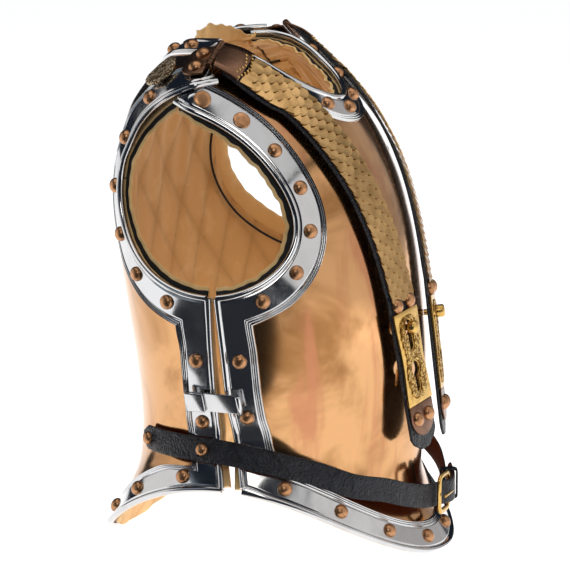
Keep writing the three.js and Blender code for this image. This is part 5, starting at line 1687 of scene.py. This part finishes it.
keeper = hoop("buckle_keeper_hide", keeper_frame, rounded_box(-13.5, 13.5, 7.6, 2.5), band)
finish_piece(keeper, BLACK_HIDE, ["buckle_keeper"])
print("buckle", round(math.dist(BUCKLE_AT, KEEPER_AT)), "mm from its keeper")

# %% [markdown]
# ## Camera
# The camera looks at the wearer's right side from a little in front and a little above. It stands
# well back with a long lens, so that the near and the far edges keep their true proportions.

# %% Camera
AZIMUTH, ELEVATION, DISTANCE = math.radians(-71), math.radians(10.3), 3.5
LENS, SENSOR = 238.7, 36
AIM, AIM_RIGHT = (0, 0.0017, 0.2329), 0.0032
level = math.cos(ELEVATION)
toward = Vector((math.sin(AZIMUTH) * level, -math.cos(AZIMUTH) * level, math.sin(ELEVATION)))
right = Vector((math.cos(AZIMUTH), math.sin(AZIMUTH), 0))
aim = Vector(AIM) + right * AIM_RIGHT
camera_data = bpy.data.cameras.new("camera")
camera_data.lens, camera_data.sensor_width = LENS, SENSOR
camera = placed("camera", camera_data)
camera.location = aim + toward * DISTANCE
camera.rotation_euler = toward.to_track_quat("Z", "Y").to_euler()
bpy.context.scene.camera = camera
print("camera at", [round(v, 2) for v in camera.location])

# %% [markdown]
# ## Floor and dark card
# Polished armour shows whatever stands round it. The floor is pale paper that stops just in
# front of the piece. A dark card lies on it that only the reflections see: it keeps the side of
# the armour from turning white. The camera doesn't see it, and it casts no shadow.

# %% Floor and dark card
FLOOR_FRONT, FLOOR_BACK, FLOOR_HALF, FLOOR_GLOW = 1.6, 7.0, 4.0, 0.95
# the card's corners, counted from the armour towards the camera and to the right
CARD = ((0.2, -0.2), (0.27, -0.5), (0.33, -0.95), (0.6, -1.9), (1.9, -1.6), (1.55, 0.8), (0.2, -0.07))
CARD_LIFT = 0.001
ahead = Vector((toward.x, toward.y, 0)).normalized()


def stage_sheet(name, corners, height, colour):
    """A flat piece of the stage, dull and of one colour; it gives its shader too."""
    mesh = bpy.data.meshes.new(name)
    points = [ahead * near + right * aside for near, aside in corners]
    mesh.from_pydata([(p.x, p.y, height) for p in points], [], [tuple(range(len(points)))])
    finish = bpy.data.materials.new(name)
    finish.use_nodes = True
    dull = finish.node_tree.nodes["Principled BSDF"].inputs
    dull["Base Color"].default_value = colour
    dull["Roughness"].default_value = 0.9
    mesh.materials.append(finish)
    return placed(name, mesh), dull


floor_corners = ((FLOOR_FRONT, FLOOR_HALF), (-FLOOR_BACK, FLOOR_HALF), (-FLOOR_BACK, -FLOOR_HALF),
                 (FLOOR_FRONT, -FLOOR_HALF))
floor, paper = stage_sheet("floor", floor_corners, 0, rgb(0.9, 0.9, 0.9))
paper["Emission Color"].default_value = rgb(1, 1, 1)
paper["Emission Strength"].default_value = FLOOR_GLOW
card, _ = stage_sheet("dark_card", CARD, CARD_LIFT, rgb(0.012, 0.018, 0.032))
card.visible_camera = False
card.visible_shadow = False
print("floor", FLOOR_FRONT + FLOOR_BACK, "by", 2 * FLOOR_HALF, "m")

# %% [markdown]
# ## Light
# In a dark room with large soft panels each polished face shows either a bright panel or the
# dark, which makes its shape easy to read. Each panel is given as an even brightness, so that it
# can be made larger without growing brighter in the reflections.

# %% Light
world = bpy.data.worlds.new("studio")
bpy.context.scene.world = world
world.use_nodes = True
world.node_tree.nodes["Background"].inputs["Color"].default_value = rgb(0.012, 0.017, 0.026)
world.node_tree.nodes["Background"].inputs["Strength"].default_value = 1.0


def panel(name, place, size, brightness, colour, look_at):
    """A soft panel of an even brightness, square on to a point."""
    light = bpy.data.lights.new(name, "AREA")
    light.shape, light.size, light.size_y = "RECTANGLE", size[0], size[1]
    light.energy, light.color = brightness * math.pi * size[0] * size[1], colour
    lamp = placed(name, light)
    lamp.location = place
    lamp.rotation_euler = (Vector(place) - Vector(look_at)).to_track_quat("Z", "Y").to_euler()


panel("panel_overhead", (-0.3, 0.1, 2.4), (2.2, 2.2), 1.3, (1.0, 0.98, 0.95), (-0.3, 0.09, 0))
panel("panel_front", (0.1, -2.2, 0.85), (2.75, 1.7), 0.95, (1.0, 0.97, 0.93), (0.1, 0, 0.85))
panel("panel_high", (0.2, -1.65, 2.35), (2.7, 1.5), 0.85, (1.0, 0.98, 0.95), (0.0, 0, 0.35))
panel("panel_key", (-2.1, -0.75, 1.65), (0.8, 0.8), 4.0, (1.0, 0.97, 0.92), (0, 0, 0.25))
panel("panel_left", (2.1, -1.5, 0.95), (1.9, 1.8), 0.55, (1.0, 0.95, 0.9), (0.1, 0, 0.5))
panel("panel_back", (-0.3, 2.2, 0.8), (2.2, 1.7), 1.0, (1.0, 0.97, 0.93), (-0.3, 0, 0.8))
panel("panel_fill", (-1.9, 1.7, 0.8), (1.4, 1.5), 0.32, (0.8, 0.9, 1.0), (0, 0, 0.4))
bpy.context.scene.view_settings.view_transform = "Standard"

# %% [markdown]
# ## Clearing up
# The small pieces that were set on seats are no longer needed.

# %% Clearing up
for helper in (DOME, FLUSH, BELT_DOME, DOT, *ROWS):
    bpy.data.objects.remove(helper)
